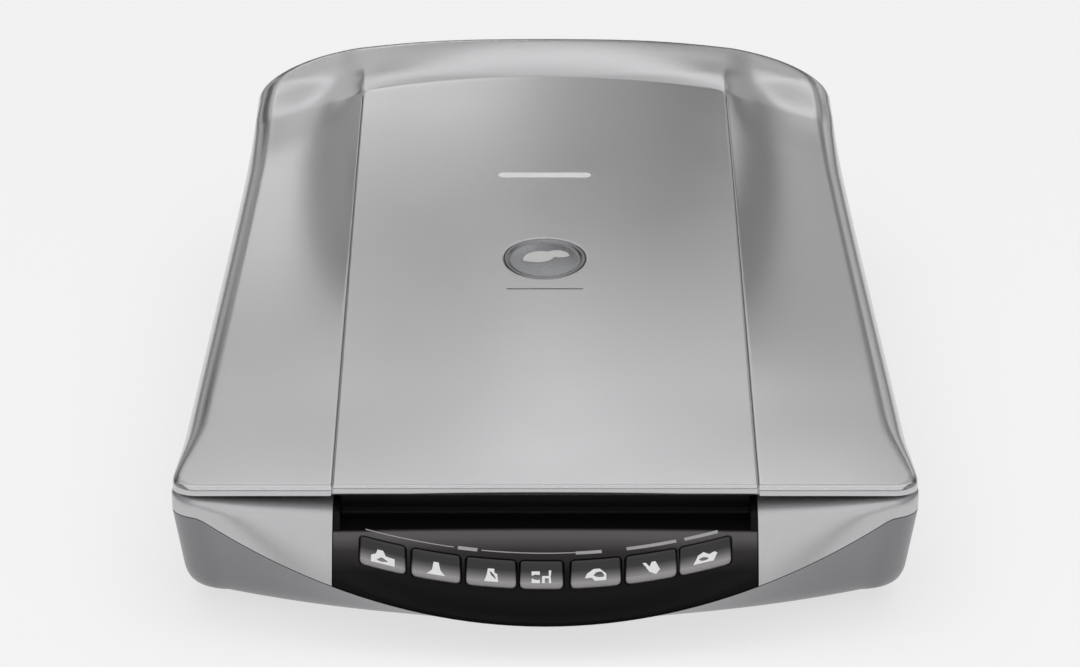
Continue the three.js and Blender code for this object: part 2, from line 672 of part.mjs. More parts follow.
function carriageBody() {
  const { left, right, front, depth, bottom, top, wall } = CARRIAGE;
  const back = front + depth;
  const tray = block(left, right, front, back, bottom, top);
  const hollow = block(left + wall, right - wall, front + wall, back - wall, bottom + wall, top + 5);
  const alongRod = (radius, length) =>
    cylinder(radius, length, "y", 16).translate(ROD.x, front + depth / 2, ROD.z);
  const skid = block(right - 1, RAIL.right, front + 20, front + 36, RAIL.top + GAP, RAIL.top + 3);
  const runX = BELT.x + BELT.pulley + GAP + BELT.thick / 2;
  const jaws = [-1, 1].map((side) => {
    const inner = runX + side * (BELT.thick / 2 + GAP);
    const outer = inner + side * JAW.thick;
    return block(Math.min(inner, outer), Math.max(inner, outer), JAW.front, JAW.back, JAW.low, JAW.high);
  });
  const lockNotch = block(LOCK.x - 3, LOCK.x + 3, front - 1, front + 7, bottom - 1, LOCK.top + 1.1);
  const lensSeat = block(-13, 13, LENS.y - 16, LENS.y + 1, bottom + 1, 18.5);
  const solid = join(cut(tray, hollow), alongRod(SLEEVE_RADIUS, depth), skid, lensSeat, ...jaws);
  return cut(solid, alongRod(ROD.radius + SLIDE_GAP, depth + 4), lockNotch);
}

function addScanHead() {
  const { left, right, top } = CARRIAGE;
  piece("carriage_body", carriageBody(), DARK_PLASTIC);

  const { front, back, sheet } = REFLECTOR;
  const channel = [
    [front, top + GAP],
    [back, top + GAP],
    [back, top + GAP + sheet],
    [front + sheet, top + GAP + sheet],
    [front + sheet, REFLECTOR.top],
    [front, REFLECTOR.top],
  ];
  piece("lamp_reflector", sideways(channel, left + 2, right - 2), STEEL);
  const tube = cylinder(LAMP.radius, LAMP.length, "x", 16);
  piece("lamp_tube", tube, LAMP_TUBE, [(left + right) / 2, LAMP.y, top + LAMP.rise]);
  for (const [i, { y, z, width, turn }] of MIRRORS.entries()) {
    const strip = new THREE.BoxGeometry(MIRROR_LENGTH, width, MIRROR_THICK);
    piece("mirror_" + (i + 1), strip, MIRROR, [10, y, z], [turn, 0, 0]);
  }
  piece("lens_barrel", turned(LENS_SECTION, 20), BRASS, [0, LENS.y, LENS.z], [Math.PI / 2, 0, 0]);
  const { halfX, y, low, high } = SENSOR_BOARD;
  piece("sensor_board", block(-halfX, halfX, y, y + BOARD_THICK, low, high), BOARD_GREEN);
  const { x0, x1, y0, y1, z } = INVERTER_BOARD;
  piece("inverter_board", block(x0, x1, y0, y1, z, z + BOARD_THICK), BOARD_GREEN);
}

// ---------------------------------------------------------------- guide rod and rail

function addGuides() {
  const rodLength = ROD.back - ROD.front;
  const rodMiddle = (ROD.front + ROD.back) / 2;
  piece("guide_rod", cylinder(ROD.radius, rodLength, "y", 20), STEEL, [ROD.x, rodMiddle, ROD.z]);
  const clip = (y0, y1) =>
    cut(
      block(ROD.x - CLIP.halfX, ROD.x + CLIP.halfX, y0, y1, FLOOR_TOP + GAP, ROD.z + CLIP.top),
      cylinder(ROD.radius + GAP, 30, "y", 16).translate(ROD.x, (y0 + y1) / 2, ROD.z),
    );
  piece("rod_clip_front", clip(-187, -180), DARK_PLASTIC);
  piece("rod_clip_back", clip(199, 205), DARK_PLASTIC);
  const rail = block(RAIL.left, RAIL.right, RAIL.front, RAIL.back, FLOOR_TOP + GAP, RAIL.top);
  piece("side_rail", rail, DARK_PLASTIC);
}

// ---------------------------------------------------------------- drive

// A flanged pulley with a bore, or with a solid stub shaft of radius stub that ends at stubTop.
function pulleyBody({ bore = 0, stub, stubTop }) {
  const { pulley, low, high } = BELT;
  const rim = pulley + FLANGE.reach;
  const [seatLow, seatHigh] = [low - FLANGE.gap, high + FLANGE.gap];
  const [bottom, top] = [seatLow - FLANGE.thick, seatHigh + FLANGE.thick];
  const section = [
    [bore, bottom],
    [rim, bottom],
    [rim, seatLow],
    [pulley, seatLow],
    [pulley, seatHigh],
    [rim, seatHigh],
    [rim, top],
  ];
  if (stub) section.push([stub, top], [stub, stubTop], [0, stubTop]);
  else section.push([bore, top], [bore, bottom]);
  return turned(section, 20);
}

function timingBelt() {
  const { x, front, back, pulley, thick, low, high } = BELT;
  const inner = pulley + GAP;
  const loop = new THREE.Shape(stadium(x, front, back, inner + thick, 8));
  loop.holes.push(new THREE.Path(stadium(x, front, back, inner, 8)));
  const settings = { depth: high - low, bevelEnabled: false, steps: 1 };
  return new THREE.ExtrudeGeometry(loop, settings).translate(0, 0, low);
}

function motorBracket(x, y) {
  const { halfX, front, back, low, high, leg } = BRACKET;
  const seat = block(x - halfX, x + halfX, y - front, y + back, low, high);
  const legs = [x - halfX, x + halfX - leg].map((left) =>
    block(left, left + leg, y - front, y + back, FLOOR_TOP + GAP, high - 0.6),
  );
  const shaftHole = cylinder(2.4, 20, "z", 12).translate(x, y, 12);
  return cut(join(seat, ...legs), shaftHole);
}

function addDrive() {
  const { x, front, back } = BELT;
  piece("timing_belt", timingBelt(), BELT_RUBBER);
  piece("motor_pulley", pulleyBody({ stub: MOTOR.shaft, stubTop: MOTOR.shaftTop }), BRASS, [x, front, 0]);
  piece("idler_pulley", pulleyBody({ bore: IDLER.bore }), WHITE_PLASTIC, [x, back, 0]);
  piece("motor_bracket", motorBracket(x, front), STEEL);
  const motorHole = cylinder(1.8, 8, "z", 12).translate(x, front, 16);
  piece("stepper_motor", cut(motorCan(x, front), motorHole), STEEL);

  const { axle, axleHeight, halfX } = IDLER;
  const plateLow = FLOOR_TOP + GAP;
  const plate = block(x - halfX, x + halfX, back - IDLER.front, back + IDLER.back, plateLow, FLOOR_TOP + 1);
  const spindle = cylinder(axle, axleHeight, "z", 12).translate(x, back, FLOOR_TOP + 3.9);
  piece("idler_bracket", join(plate, spindle), STEEL);
  piece("tension_spring", spring(x, SPRING_ANCHOR_Y + 2.4, back - 11), STEEL);
  piece("ribbon_cable", sideways(RIBBON_PATH, RIBBON.x0, RIBBON.x1), RIBBON_FILM);
}

function motorCan(x, y) {
  const { radius, low, high, edge } = MOTOR;
  const section = [
    [0, low],
    [radius - edge, low],
    [radius, low + edge],
    [radius, high - edge],
    [radius - edge, high],
    [0, high],
  ];
  return turned(section, 24).translate(x, y, 0);
}

// A spring along Y, from y0 to y1, in the middle of the belt loop.
function spring(x, y0, y1) {
  const { coil: radius, wire, z, turns } = SPRING;
  const coil = new THREE.Curve();
  coil.getPoint = (t, target = new THREE.Vector3()) => {
    const angle = t * turns * 2 * Math.PI;
    return target.set(x + radius * Math.cos(angle), lerp(y0, y1, t), z + radius * Math.sin(angle));
  };
  const section = new THREE.Shape(spread(0, 2 * Math.PI, 5).slice(0, -1).map((a) => point2(wire, a)));
  return new THREE.ExtrudeGeometry(section, { extrudePath: coil, steps: turns * 9, bevelEnabled: false });
}

// ---------------------------------------------------------------- lid surface

const lidHalf = (y) => {
  const t = clamp((y - LID_FRONT_Y) / (LID_BACK_Y - LID_FRONT_Y));
  return lerp(FRONT_HALF, BACK_HALF, t * (1.25 - 0.25 * t));
};
const CORNER_Y = LID_BACK_Y - lidBackBow(BACK_HALF - LID_CORNER.across) - LID_CORNER.along;
const CORNER_HALF = lidHalf(CORNER_Y);

// Back edge of the lid in plan, with its round corners.
function lidBackEdge(x) {
  const start = CORNER_HALF - LID_CORNER.across;
  const away = Math.abs(x) - start;
  if (away <= 0) return LID_BACK_Y - lidBackBow(x);
  const { across, along, power } = LID_CORNER;
  const t = Math.min(1, away / across);
  return LID_BACK_Y - lidBackBow(start) - along * (1 - (1 - t ** power) ** (1 / power));
}
const panelBackEdge = (x) => PANEL_BACK_Y - panelBackBow(x);

// Height of the lid's skin: it rises to the back, the wings are scooped beside the centre panel, and a deck wraps
// round behind it. The sides and back roll over into the walls.
function lidTop(x, y) {
  const t = clamp((y - LID_FRONT_Y) / (PANEL_BACK_Y - LID_FRONT_Y));
  const deck = clamp((y - panelBackEdge(x)) / (lidBackEdge(x) - panelBackEdge(x)));
  const wing = clamp((Math.abs(x) - PANEL_HALF) / (lidHalf(y) - PANEL_HALF));
  const hollow = 1 - (1 - wing) ** 3;
  const curl = 0.9 * clamp((Math.abs(x) - DECK_FLAT) / (lidHalf(y) - DECK_FLAT)) ** 2;
  const scoop = WING_SCOOP * smooth(0.05, 0.9, t) * lerp(hollow, curl, smooth(0, 0.6, deck));
  const crown = (0.8 * Math.min(Math.abs(x), PANEL_HALF) ** 2) / PANEL_HALF ** 2;
  const level = LID_FRONT_Z + LID_RISE * t * (1.3 - 0.3 * t) - crown * smooth(0, 0.2, t);
  const early = panelBackEdge(x) - DECK_RUN_IN;
  const soft = clamp((y - early) / (lidBackEdge(x) - early)) ** 2;
  const climb = lerp(deck * (1.5 - 0.5 * deck), soft, smooth(0, 14, Math.abs(x) - PANEL_HALF));
  return level - scoop + DECK_RISE * climb - shoulderDrop(x, y);
}
function shoulderDrop(x, y) {
  const edge = Math.min(lidHalf(y) - Math.abs(x), lidBackEdge(x) - y);
  const share = smooth(LID_FRONT_Y, LID_FRONT_Y + 60, y);
  const radius = lerp(2, LID_SHOULDER, share);
  const inside = clamp(edge / radius);
  return radius * (1 - Math.sqrt(1 - (1 - inside) ** 2));
}

// Columns of points over the lid, for the function under. across holds offsets from the centre line: from 0 to 1 over
// the centre panel, and from 1 to 2 over the wing.
function lidColumns({ across, along, inset = 0, lower = 0 }) {
  const rowY = (x, v) => {
    const arc = panelBackEdge(x);
    return v <= 1 ? lerp(LID_FRONT_Y, arc, v) : lerp(arc, lidBackEdge(x), v - 1);
  };
  const mirrored = [...across.slice(1).reverse().map((s) => -s), ...across];
  return mirrored.map((s) =>
    along.map((v) => {
      const half = lidHalf(rowY(CORNER_HALF, v));
      const share = Math.abs(s);
      const x = Math.sign(s) * (share <= 1 ? PANEL_HALF * share : lerp(PANEL_HALF, half, share - 1));
      const y = rowY(x, v);
      const shrunkX = x * (1 - inset / half);
      const shareY = (y - LID_FRONT_Y) / (LID_BACK_Y - LID_FRONT_Y);
      const shrunkY = lerp(LID_FRONT_Y + inset, LID_BACK_Y - inset, shareY);
      return [shrunkX, shrunkY, lidTop(x, y) - lower];
    }),
  );
}

// A block under the lid's skin, as wide as the centre panel.
function panelBlock({ grow, lower, frontShift, floor }) {
  const half = PANEL_HALF + grow;
  return under(
    spread(-half, half, 8).map((x) =>
      spread(0, 1, 9).map((v) => {
        const y = lerp(LID_FRONT_Y - grow + frontShift, panelBackEdge(x) + grow, v);
        const inside = Math.sign(x) * Math.min(Math.abs(x), PANEL_HALF);
        return [x, y, lidTop(inside, Math.min(y, panelBackEdge(x))) + PANEL_PROUD - lower];
      }),
    ),
    floor,
  );
}

// ---------------------------------------------------------------- lid

const ellipse = (halfX, halfY, sides) =>
  spread(0, 2 * Math.PI, sides)
    .slice(0, -1)
    .map((a) => [halfX * Math.cos(a), BADGE.y + halfY * Math.sin(a)]);

function addLid() {
  const outer = under(
    lidColumns({
      across: [0, 0.35, 0.7, 1, 1.12, 1.3, 1.55, 1.8, 1.9, 1.96, 2],
      along: [0, 0.15, 0.3, 0.45, 0.6, 0.75, 0.9, 1, 1.2, 1.45, 1.7, 1.88, 1.96, 2],
    }),
    LID_UNDER_Z,
  );
  const insideColumns = (extra) =>
    lidColumns({
      across: [0, 0.5, 1, 1.2, 1.5, 1.8, 2],
      along: [0, 0.2, 0.4, 0.6, 0.8, 1, 1.3, 1.7, 2],
      inset: LID_SHELL + extra,
      lower: LID_SHELL + extra,
    });
  const inside = under(insideColumns(0), 0);
  const tail = sideways(
    [
      [200, 40],
      [200, LID_UNDER_Z - 0.05],
      [214, LID_TAIL_Z],
      [260, LID_TAIL_Z],
      [260, 40],
    ],
    -150,
    150,
  );
  const grip = acrossY(fingerArc(), LID_FRONT_Y - 3, RECESS.backY);
  const seat = cut(
    panelBlock({ grow: GAP, lower: -3, frontShift: 0, floor: 0 }),
    panelBlock({ grow: 3, lower: PANEL_SHEET + GAP, frontShift: 3 + PANEL_SHEET + GAP, floor: -10 }),
  );
  piece("lid_cover", cut(outer, inside, tail, seat, grip), SILVER);

  const dish = prism(ellipse(BADGE.halfX + GAP, BADGE.halfY + GAP, 28), 0, 120);
  const sheet = cut(
    panelBlock({ grow: 0, lower: 0, frontShift: 0, floor: LID_UNDER_Z + 0.7 }),
    panelBlock({ grow: 4, lower: PANEL_SHEET, frontShift: 4 + PANEL_SHEET, floor: 10 }),
  );
  const dishFloor = panelBlock({ grow: 0, lower: BADGE.depth, frontShift: 0, floor: 10 });
  piece("lid_centre_panel", cut(sheet, cut(dish, dishFloor), acrossY(fingerArc(), -250, -190)), SILVER);
  const disc = common(
    prism(ellipse(BADGE.halfX, BADGE.halfY, 28), 0, 120),
    cut(
      panelBlock({ grow: 0, lower: -BADGE.proud, frontShift: 0, floor: 20 }),
      panelBlock({ grow: 2, lower: BADGE.depth - GAP, frontShift: 2, floor: 10 }),
    ),
  );
  piece("lid_badge", disc, BADGE_METAL);

  const linerPlan = prism(linerOutline(), LINER.low, LINER.high);
  piece("lid_liner", common(linerPlan, under(insideColumns(0.6), 0)), LINER_PLASTIC);
  const matLow = GLASS_TOP + GAP;
  const matTop = matLow + MAT.thick;
  piece("foam_pad", block(-PAD.halfX, PAD.halfX, -PAD.halfY, PAD.halfY, matTop + GAP, LINER.low - GAP), FOAM);
  piece("white_mat", block(-MAT.halfX, MAT.halfX, -MAT.halfY, MAT.halfY, matLow, matTop), WHITE_SHEET);
  for (const [side, x] of [["left", -BUMPER.x], ["right", BUMPER.x]]) {
    const section = [
      [0, DECK_Z + GAP],
      [BUMPER.radius - 1, DECK_Z + GAP],
      [BUMPER.radius, DECK_Z + 0.9],
      [BUMPER.radius, LINER.low - GAP],
      [0, LINER.low - GAP],
    ];
    piece("bumper_" + side, turned(section, 14), RUBBER, [x, BUMPER.y, 0]);
  }
}

const linerOutline = () => {
  const right = spread(LINER.front, LINER.back, 5).map((y) => [lidHalf(y) - 5, y]);
  return [...right, ...right.map(([x, y]) => [-x, y]).reverse()];
};

// The lid's lower front edge arches up over the finger recess.
function fingerArc() {
  const arc = spread(-RECESS.halfX, RECESS.halfX, 8).map((x) => [
    x,
    LID_UNDER_Z - 0.05 + ARCH_RISE * (1 - (x / RECESS.halfX) ** 2),
  ]);
  return [[RECESS.halfX, 40], ...arc.reverse(), [-RECESS.halfX, 40]].reverse();
}

// ---------------------------------------------------------------- hinges

function addHinges() {
  const { x, y, z, pinRadius, barrelRadius, postHalfX, postHalfY } = HINGE;
  for (const [side, middle] of [["left", -x], ["right", x]]) {
    const post = block(middle - postHalfX, middle + postHalfX, y - postHalfY, y + postHalfY, POST_FOOT_Z, z);
    const barrel = cylinder(barrelRadius, 2 * postHalfX, "x", 20).translate(middle, y, z);
    const bore = cylinder(pinRadius + GAP, 40, "x", 16).translate(middle, y, z);
    piece("hinge_post_" + side, cut(join(post, barrel), bore), DARK_PLASTIC);

    const ears = [-1, 1].map((end) => {
      const near = middle + end * (postHalfX + LEAF.gap);
      const far = near + end * LEAF.ear;
      const profile = [
        [190, LINER.high + GAP],
        [y, z - barrelRadius],
        [y + 3, z - 2.6],
        [y + 4, z],
        [y + 3, z + 2.6],
        [y, z + barrelRadius],
        [200, 61],
        [190, 57.5],
      ];
      return sideways(profile, Math.min(near, far), Math.max(near, far));
    });
    const { footHalfX, footFront, footBack, footTop } = LEAF;
    const footBottom = LINER.high + GAP;
    const foot = block(middle - footHalfX, middle + footHalfX, footFront, footBack, footBottom, footTop);
    const pin = cylinder(pinRadius, 2 * postHalfX + 6, "x", 16).translate(middle, y, z);
    piece("hinge_leaf_" + side, join(foot, ...ears, pin), STEEL);

    const outerHalf = CHANNEL.halfX + 2;
    const { outside, inside } = SOCKET_FLOOR;
    const socketTop = DECK_Z - DECK_SHEET - GAP;
    const socket = block(middle - outerHalf, middle + outerHalf, y - 6, y + 2.4, outside, socketTop);
    const channel = block(
      middle - CHANNEL.halfX,
      middle + CHANNEL.halfX,
      y - CHANNEL.front,
      y + CHANNEL.back + 2,
      inside,
      DECK_Z,
    );
    piece("hinge_socket_" + side, cut(socket, channel), DARK_PLASTIC);
  }
}

addCase();
addFront();
addSockets();
addLock();
addScanHead();
addGuides();
addDrive();
addLid();
addHinges();

export default scanner;
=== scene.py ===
"""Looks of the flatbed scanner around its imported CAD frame.

It adds smooth shells, fine parts, materials, lights and a camera. Lengths are millimetres in the frame's own axes
and become metres where a mesh is made. The lights and the camera are in metres.
"""

import json
import math

import bpy
import numpy as np
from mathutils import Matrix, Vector


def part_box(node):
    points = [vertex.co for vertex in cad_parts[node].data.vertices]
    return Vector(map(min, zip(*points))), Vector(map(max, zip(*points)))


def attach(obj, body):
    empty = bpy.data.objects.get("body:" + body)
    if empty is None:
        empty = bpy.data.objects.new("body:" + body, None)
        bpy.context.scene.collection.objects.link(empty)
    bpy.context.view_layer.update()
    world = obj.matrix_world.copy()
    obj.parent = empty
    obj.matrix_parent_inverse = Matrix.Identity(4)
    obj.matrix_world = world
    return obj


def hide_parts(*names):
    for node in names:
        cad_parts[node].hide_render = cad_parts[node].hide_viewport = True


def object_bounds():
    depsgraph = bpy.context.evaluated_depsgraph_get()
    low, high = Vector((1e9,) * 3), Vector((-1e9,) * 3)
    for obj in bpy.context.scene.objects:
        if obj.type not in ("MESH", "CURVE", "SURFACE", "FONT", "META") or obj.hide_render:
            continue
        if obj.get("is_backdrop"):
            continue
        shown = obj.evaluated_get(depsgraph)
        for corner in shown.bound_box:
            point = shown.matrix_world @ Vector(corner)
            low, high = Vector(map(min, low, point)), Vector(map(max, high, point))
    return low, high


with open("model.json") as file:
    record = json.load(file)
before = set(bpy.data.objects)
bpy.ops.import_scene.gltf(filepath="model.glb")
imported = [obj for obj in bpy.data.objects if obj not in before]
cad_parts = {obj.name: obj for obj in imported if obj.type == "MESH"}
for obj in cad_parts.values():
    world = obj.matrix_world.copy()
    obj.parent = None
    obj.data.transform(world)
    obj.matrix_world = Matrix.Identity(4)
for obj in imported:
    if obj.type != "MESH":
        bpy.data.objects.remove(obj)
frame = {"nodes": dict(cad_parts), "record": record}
cad_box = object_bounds()
nodes = frame["nodes"]

MM = 0.001
GAP = 0.3  # between pieces that touch in life


def corners(node):
    """Lowest and highest corner of a CAD node, in millimetres."""
    low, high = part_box(node)
    return low / MM, high / MM


# ---------------------------------------------------------------- driving dimensions, from the frame

lid_low, lid_high = corners("lid_cover")
tray_low, tray_high = corners("lower_case")
badge_low, badge_high = corners("lid_badge")
panel_high = corners("lid_centre_panel")[1]

FRONT_Y = tray_low.y
BASE_BACK_Y = tray_high.y
LID_FRONT_Y = lid_low.y
LID_BACK_Y = lid_high.y
FRONT_HALF = lid_high.x
PANEL_HALF = panel_high.x
PANEL_BACK_Y = panel_high.y
LID_UNDER_Z = lid_low.z
DECK_Z = corners("upper_case")[1].z
TRAY_Z = tray_low.z

# The lid: its plan, its rise to the back, and the sheets it is made of.
BACK_HALF = 121.0  # half width at the back
TAPER_BEND = 0.25  # 0 would be straight sides
PANEL_BACK_BOW = 205.0  # plan radius of the centre panel's back edge
LID_BACK_BOW = 700.0
LID_CORNER_ACROSS = 43.0
LID_CORNER_ALONG = 44.0
LID_CORNER_POWER = 1.7  # 2 would be an ellipse
LID_FRONT_CORNER = 10.0
LID_FRONT_Z = 55.0
LID_RISE = 29.0
RISE_BEND = 0.3  # how much of the rise comes early
LID_CROWN = 0.8  # of the centre panel, across
LID_SHELL = 3.4
LID_TAIL_Z = 64.0
WING_SCOOP = 7.0
WING_FEATHER = 14.0  # beside the seam, over which the wing takes up its own, longer climb to the deck
DECK_RISE = 7.2
DECK_RUN_IN = 46.0  # before the panel's back edge, on the wings
DECK_FLAT = 30.0
DECK_CURL = 0.9
FRONT_SHOULDER = 2.0
BACK_SHOULDER = 9.0
SHOULDER_RUN = 60.0  # from the front edge, over which the one becomes the other
HEM_CLIMB = (200.0, 216.0)  # y at which the lid's hem starts and ends its way up over the hinges
PANEL_SHEET = 1.5
PANEL_PROUD = 0.4
PANEL_CORNER = 4.0
LID_HEM_RINGS = [(1.6, 0.0), (0.45, 0.0), (0.12, 0.12), (0.0, 0.45)]  # (above the hem, inwards)
HEM_BLEND = 20.0  # from the lid's edge to where its inner skin lies straight under its outer one

# The base: its walls, its front face and the recess for the fingers.
WALL = 2.5
FRONT_BOW = 260.0
FACE_SWELL = 1.5
FACE_END = (2.0, 14.0)  # behind the lid's front edge, over which the front face's shape gives way to the sides'
DECK_LAND = 13.0
DECK_SHEET = 2.4
DECK_ROUND_SIDE = 1.6
DECK_ROUND_FRONT = 3.2
DECK_DIP = 5.0
DECK_DIP_CURL = 0.0003
CHIN_Z = 13.0
CREASE_CURL = 0.0018
CREASE_END = (-206.0, -190.0)  # y over which the parting line reaches its level along the sides
SIDE_PARTING_Z = tray_high.z + GAP / 2
RECESS_HALF = 74.2
RECESS_BACK_Y = -200.0
RECESS_Z = 41.0
RECESS_SOFT = 2.2  # from its lower lip to its floor
RECESS_ROUND = 3.0  # between its floor and its back
RECESS_EDGE = 0.7  # between its back and the deck
WINDOW_HALF_X = 109.5
WINDOW_HALF_Y = 150.0

# The row of keys: its middle, the slope of the face there, and how the row climbs with the square of x.
KEY_Y = -225.3
KEY_Z = 27.0
KEY_TILT = 0.834
KEY_CURL = 0.0022
KEY_HALF_HEIGHT = 5.2
KEY_PROUD = 0.8
KEY_COUNT = 7


# ---------------------------------------------------------------- shared maths


def clamp(value, low=0.0, high=1.0):
    return min(high, max(low, value))


def lerp(a, b, t):
    return a + (b - a) * t


def smooth(low, high, value):
    t = clamp((value - low) / (high - low))
    return t * t * (3 - 2 * t)


def bowed(radius, x):
    """How far an arc of that radius has fallen back at x from its middle."""
    return radius - math.sqrt(radius * radius - x * x)


def spread(a, b, steps):
    return [lerp(a, b, i / steps) for i in range(steps + 1)]


def eased(a, b, steps):
    """From a to b, closer together near b."""
    return [lerp(a, b, math.sin(math.pi / 2 * i / steps)) for i in range(steps + 1)]


def mirrored(values):
    """A list that starts at the middle, extended to the other side."""
    return [-v for v in reversed(values[1:])] + list(values)


def bezier_point(a, b, c, t):
    return tuple(p * (1 - t) ** 2 + 2 * q * t * (1 - t) + r * t * t for p, q, r in zip(a, b, c))


def bezier(a, b, c, steps):
    """Points from a to c that turn the corner b."""
    return [bezier_point(a, b, c, t) for t in spread(0, 1, steps)]


def toward(a, b, distance):
    """The point that far from a on the way to b."""
    va, vb = Vector(a), Vector(b)
    return tuple(va + (vb - va).normalized() * distance)


def between(a, b, share):
    """The point at that share of the way from a to b."""
    return tuple(Vector(a).lerp(Vector(b), share))


# ---------------------------------------------------------------- meshes


def grid_faces(across, along, skip=lambda i, j: False):
    """Quads of a grid of points stored column after column."""
    faces = []
    for i in range(across - 1):
        for j in range(along - 1):
            if not skip(i, j):
                a = i * along + j
                faces.append((a, a + along, a + along + 1, a + 1))
    return faces


def walk_round(i0, i1, j0, j1):
    """Grid places round a block of cells, counter-clockwise from its first corner."""
    places = [(i, j0) for i in range(i0, i1)] + [(i1, j) for j in range(j0, j1)]
    return places + [(i, j1) for i in range(i1, i0, -1)] + [(i0, j) for j in range(j1, j0, -1)]


def grid_rim(across, along):
    """Indices round the edge of such a grid, counter-clockwise from its first point."""
    return [i * along + j for i, j in walk_round(0, across - 1, 0, along - 1)]


def ring_faces(near, far):
    """Quads between two closed rings of points."""
    count = len(near)
    pairs = [(k, (k + 1) % count) for k in range(count)]
    return [(near[k], far[k], far[n], near[n]) for k, n in pairs]


def skirt(verts, faces, rim, rings):
    """Hangs rings of new points from a rim, joined to it by faces."""
    above = rim
    for ring in rings:
        below = list(range(len(verts), len(verts) + len(ring)))
        verts += ring
        faces += ring_faces(above, below)
        above = below


def rim_edges(faces):
    """Directed edges that only one face uses."""
    used = set()
    for face in faces:
        for k, a in enumerate(face):
            used.add((a, face[(k + 1) % len(face)]))
    return [(a, b) for a, b in used if (b, a) not in used]


def thicken(outer, inner, faces):
    """A closed shell: the outer skin, the inner skin turned round, and the walls between their rims."""
    count = len(outer)
    shell = list(faces)
    shell += [tuple(count + a for a in reversed(face)) for face in faces]
    shell += [(b, a, count + a, count + b) for a, b in rim_edges(faces)]
    return list(outer) + list(inner), shell


def link(obj):
    bpy.context.scene.collection.objects.link(obj)
    return obj


SHARP_ANGLE = 40.0  # degrees between faces that meet in a crease
EDGE_ANGLE = 50.0  # degrees between faces whose edge is bevelled


def make(name, shape, body, slot, replaces=(), material=None, sharp=SHARP_ANGLE):
    """A smooth-shaded piece that rides on a body. Its shape is (verts, faces), and unused points are dropped. It has
    its slot's look unless a material is given."""
    verts, faces = shape
    used = sorted({a for face in faces for a in face})
    place = {a: k for k, a in enumerate(used)}
    mesh = bpy.data.meshes.new(name)
    points = [[c * MM for c in verts[a]] for a in used]
    mesh.from_pydata(points, [], [[place[a] for a in face] for face in faces])
    mesh.validate()
    mesh.materials.append(material or looks[slot])
    mesh.shade_smooth()
    mesh.set_sharp_from_angle(angle=math.radians(sharp))
    obj = link(bpy.data.objects.new(name, mesh))
    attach(obj, body)
    if replaces:
        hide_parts(*replaces)
    return obj


def bevel(obj, width, segments=2, angle=EDGE_ANGLE):
    """Rounds a piece's edges by that width in millimetres."""
    made = obj.modifiers.new("bevel", "BEVEL")
    made.width = width * MM
    made.segments = segments
    made.limit_method = "ANGLE"
    made.angle_limit = math.radians(angle)
    made.harden_normals = True


def cut(obj, *tools):
    """Takes closed tool meshes, given as (verts, faces), out of a piece."""
    for verts, faces in tools:
        mesh = bpy.data.meshes.new("tool")
        mesh.from_pydata([[c * MM for c in v] for v in verts], [], faces)
        tool = link(bpy.data.objects.new("tool", mesh))
        knife = obj.modifiers.new("cut", "BOOLEAN")
        knife.object = tool
        knife.solver = "EXACT"
        graph = bpy.context.evaluated_depsgraph_get()
        done = bpy.data.meshes.new_from_object(obj.evaluated_get(graph))
        obj.modifiers.remove(knife)
        obj.data = done
        bpy.data.objects.remove(tool)
    obj.data.shade_smooth()
    obj.data.set_sharp_from_angle(angle=math.radians(SHARP_ANGLE))


def box_mesh(x0, x1, y0, y1, z0, z1):
    verts = [(x, y, z) for z in (z0, z1) for y in (y0, y1) for x in (x0, x1)]
    faces = [(0, 2, 3, 1), (4, 5, 7, 6), (0, 1, 5, 4), (2, 6, 7, 3), (0, 4, 6, 2), (1, 3, 7, 5)]
    return verts, faces


def turned_mesh(section, sides, centre, lying=False):
    """A (radius, height) section turned about Z, or about X if it is lying. It starts and ends on the axis, or
    closes on itself."""
    on_axis = section[0][0] == 0 and section[-1][0] == 0
    verts, faces, rings = [], [], []
    for radius, height in section:
        if radius == 0:
            rings.append([len(verts)])
            verts.append((0, 0, height))
            continue
        rings.append(list(range(len(verts), len(verts) + sides)))
        for k in range(sides):
            a = 2 * math.pi * k / sides
            verts.append((radius * math.cos(a), radius * math.sin(a), height))
    pairs = list(zip(rings, rings[1:])) + ([] if on_axis else [(rings[-1], rings[0])])
    for low, high in pairs:
        for k in range(sides):
            n = (k + 1) % sides
            if len(low) == 1 and len(high) == 1:
                continue
            if len(low) == 1:
                faces.append((low[0], high[n], high[k]))
            elif len(high) == 1:
                faces.append((low[k], low[n], high[0]))
            else:
                faces.append((low[k], low[n], high[n], high[k]))
    if lying:
        verts = [(z, y, -x) for x, y, z in verts]
    return [tuple(c + d for c, d in zip(v, centre)) for v in verts], faces


def joined(*parts):
    """Several closed meshes as one."""
    verts, faces = [], []
    for v, f in parts:
        faces += [tuple(a + len(verts) for a in face) for face in f]
        verts += v
    return verts, faces


def prism_mesh(outline, place, depth):
    """A flat outline, given counter-clockwise, stood on a surface whose points are place(u, v, height)."""
    count = len(outline)
    verts = [place(u, v, 0) for u, v in outline] + [place(u, v, depth) for u, v in outline]
    faces = [tuple(reversed(range(count))), tuple(range(count, 2 * count))]
    faces += [(k, (k + 1) % count, count + (k + 1) % count, count + k) for k in range(count)]
    return verts, faces


# ---------------------------------------------------------------- materials


def principled(name, color, roughness, metallic=0.0, **sockets):
    """A node material and its shader. sockets are further inputs of the shader, with underscores for spaces."""
    material = bpy.data.materials.new(name)
    material.use_nodes = True
    shader = material.node_tree.nodes["Principled BSDF"]
    shader.inputs["Base Color"].default_value = (*color, 1)
    shader.inputs["Roughness"].default_value = roughness
    shader.inputs["Metallic"].default_value = metallic
    for socket, value in sockets.items():
        shader.inputs[socket.replace("_", " ")].default_value = value
    return material, shader


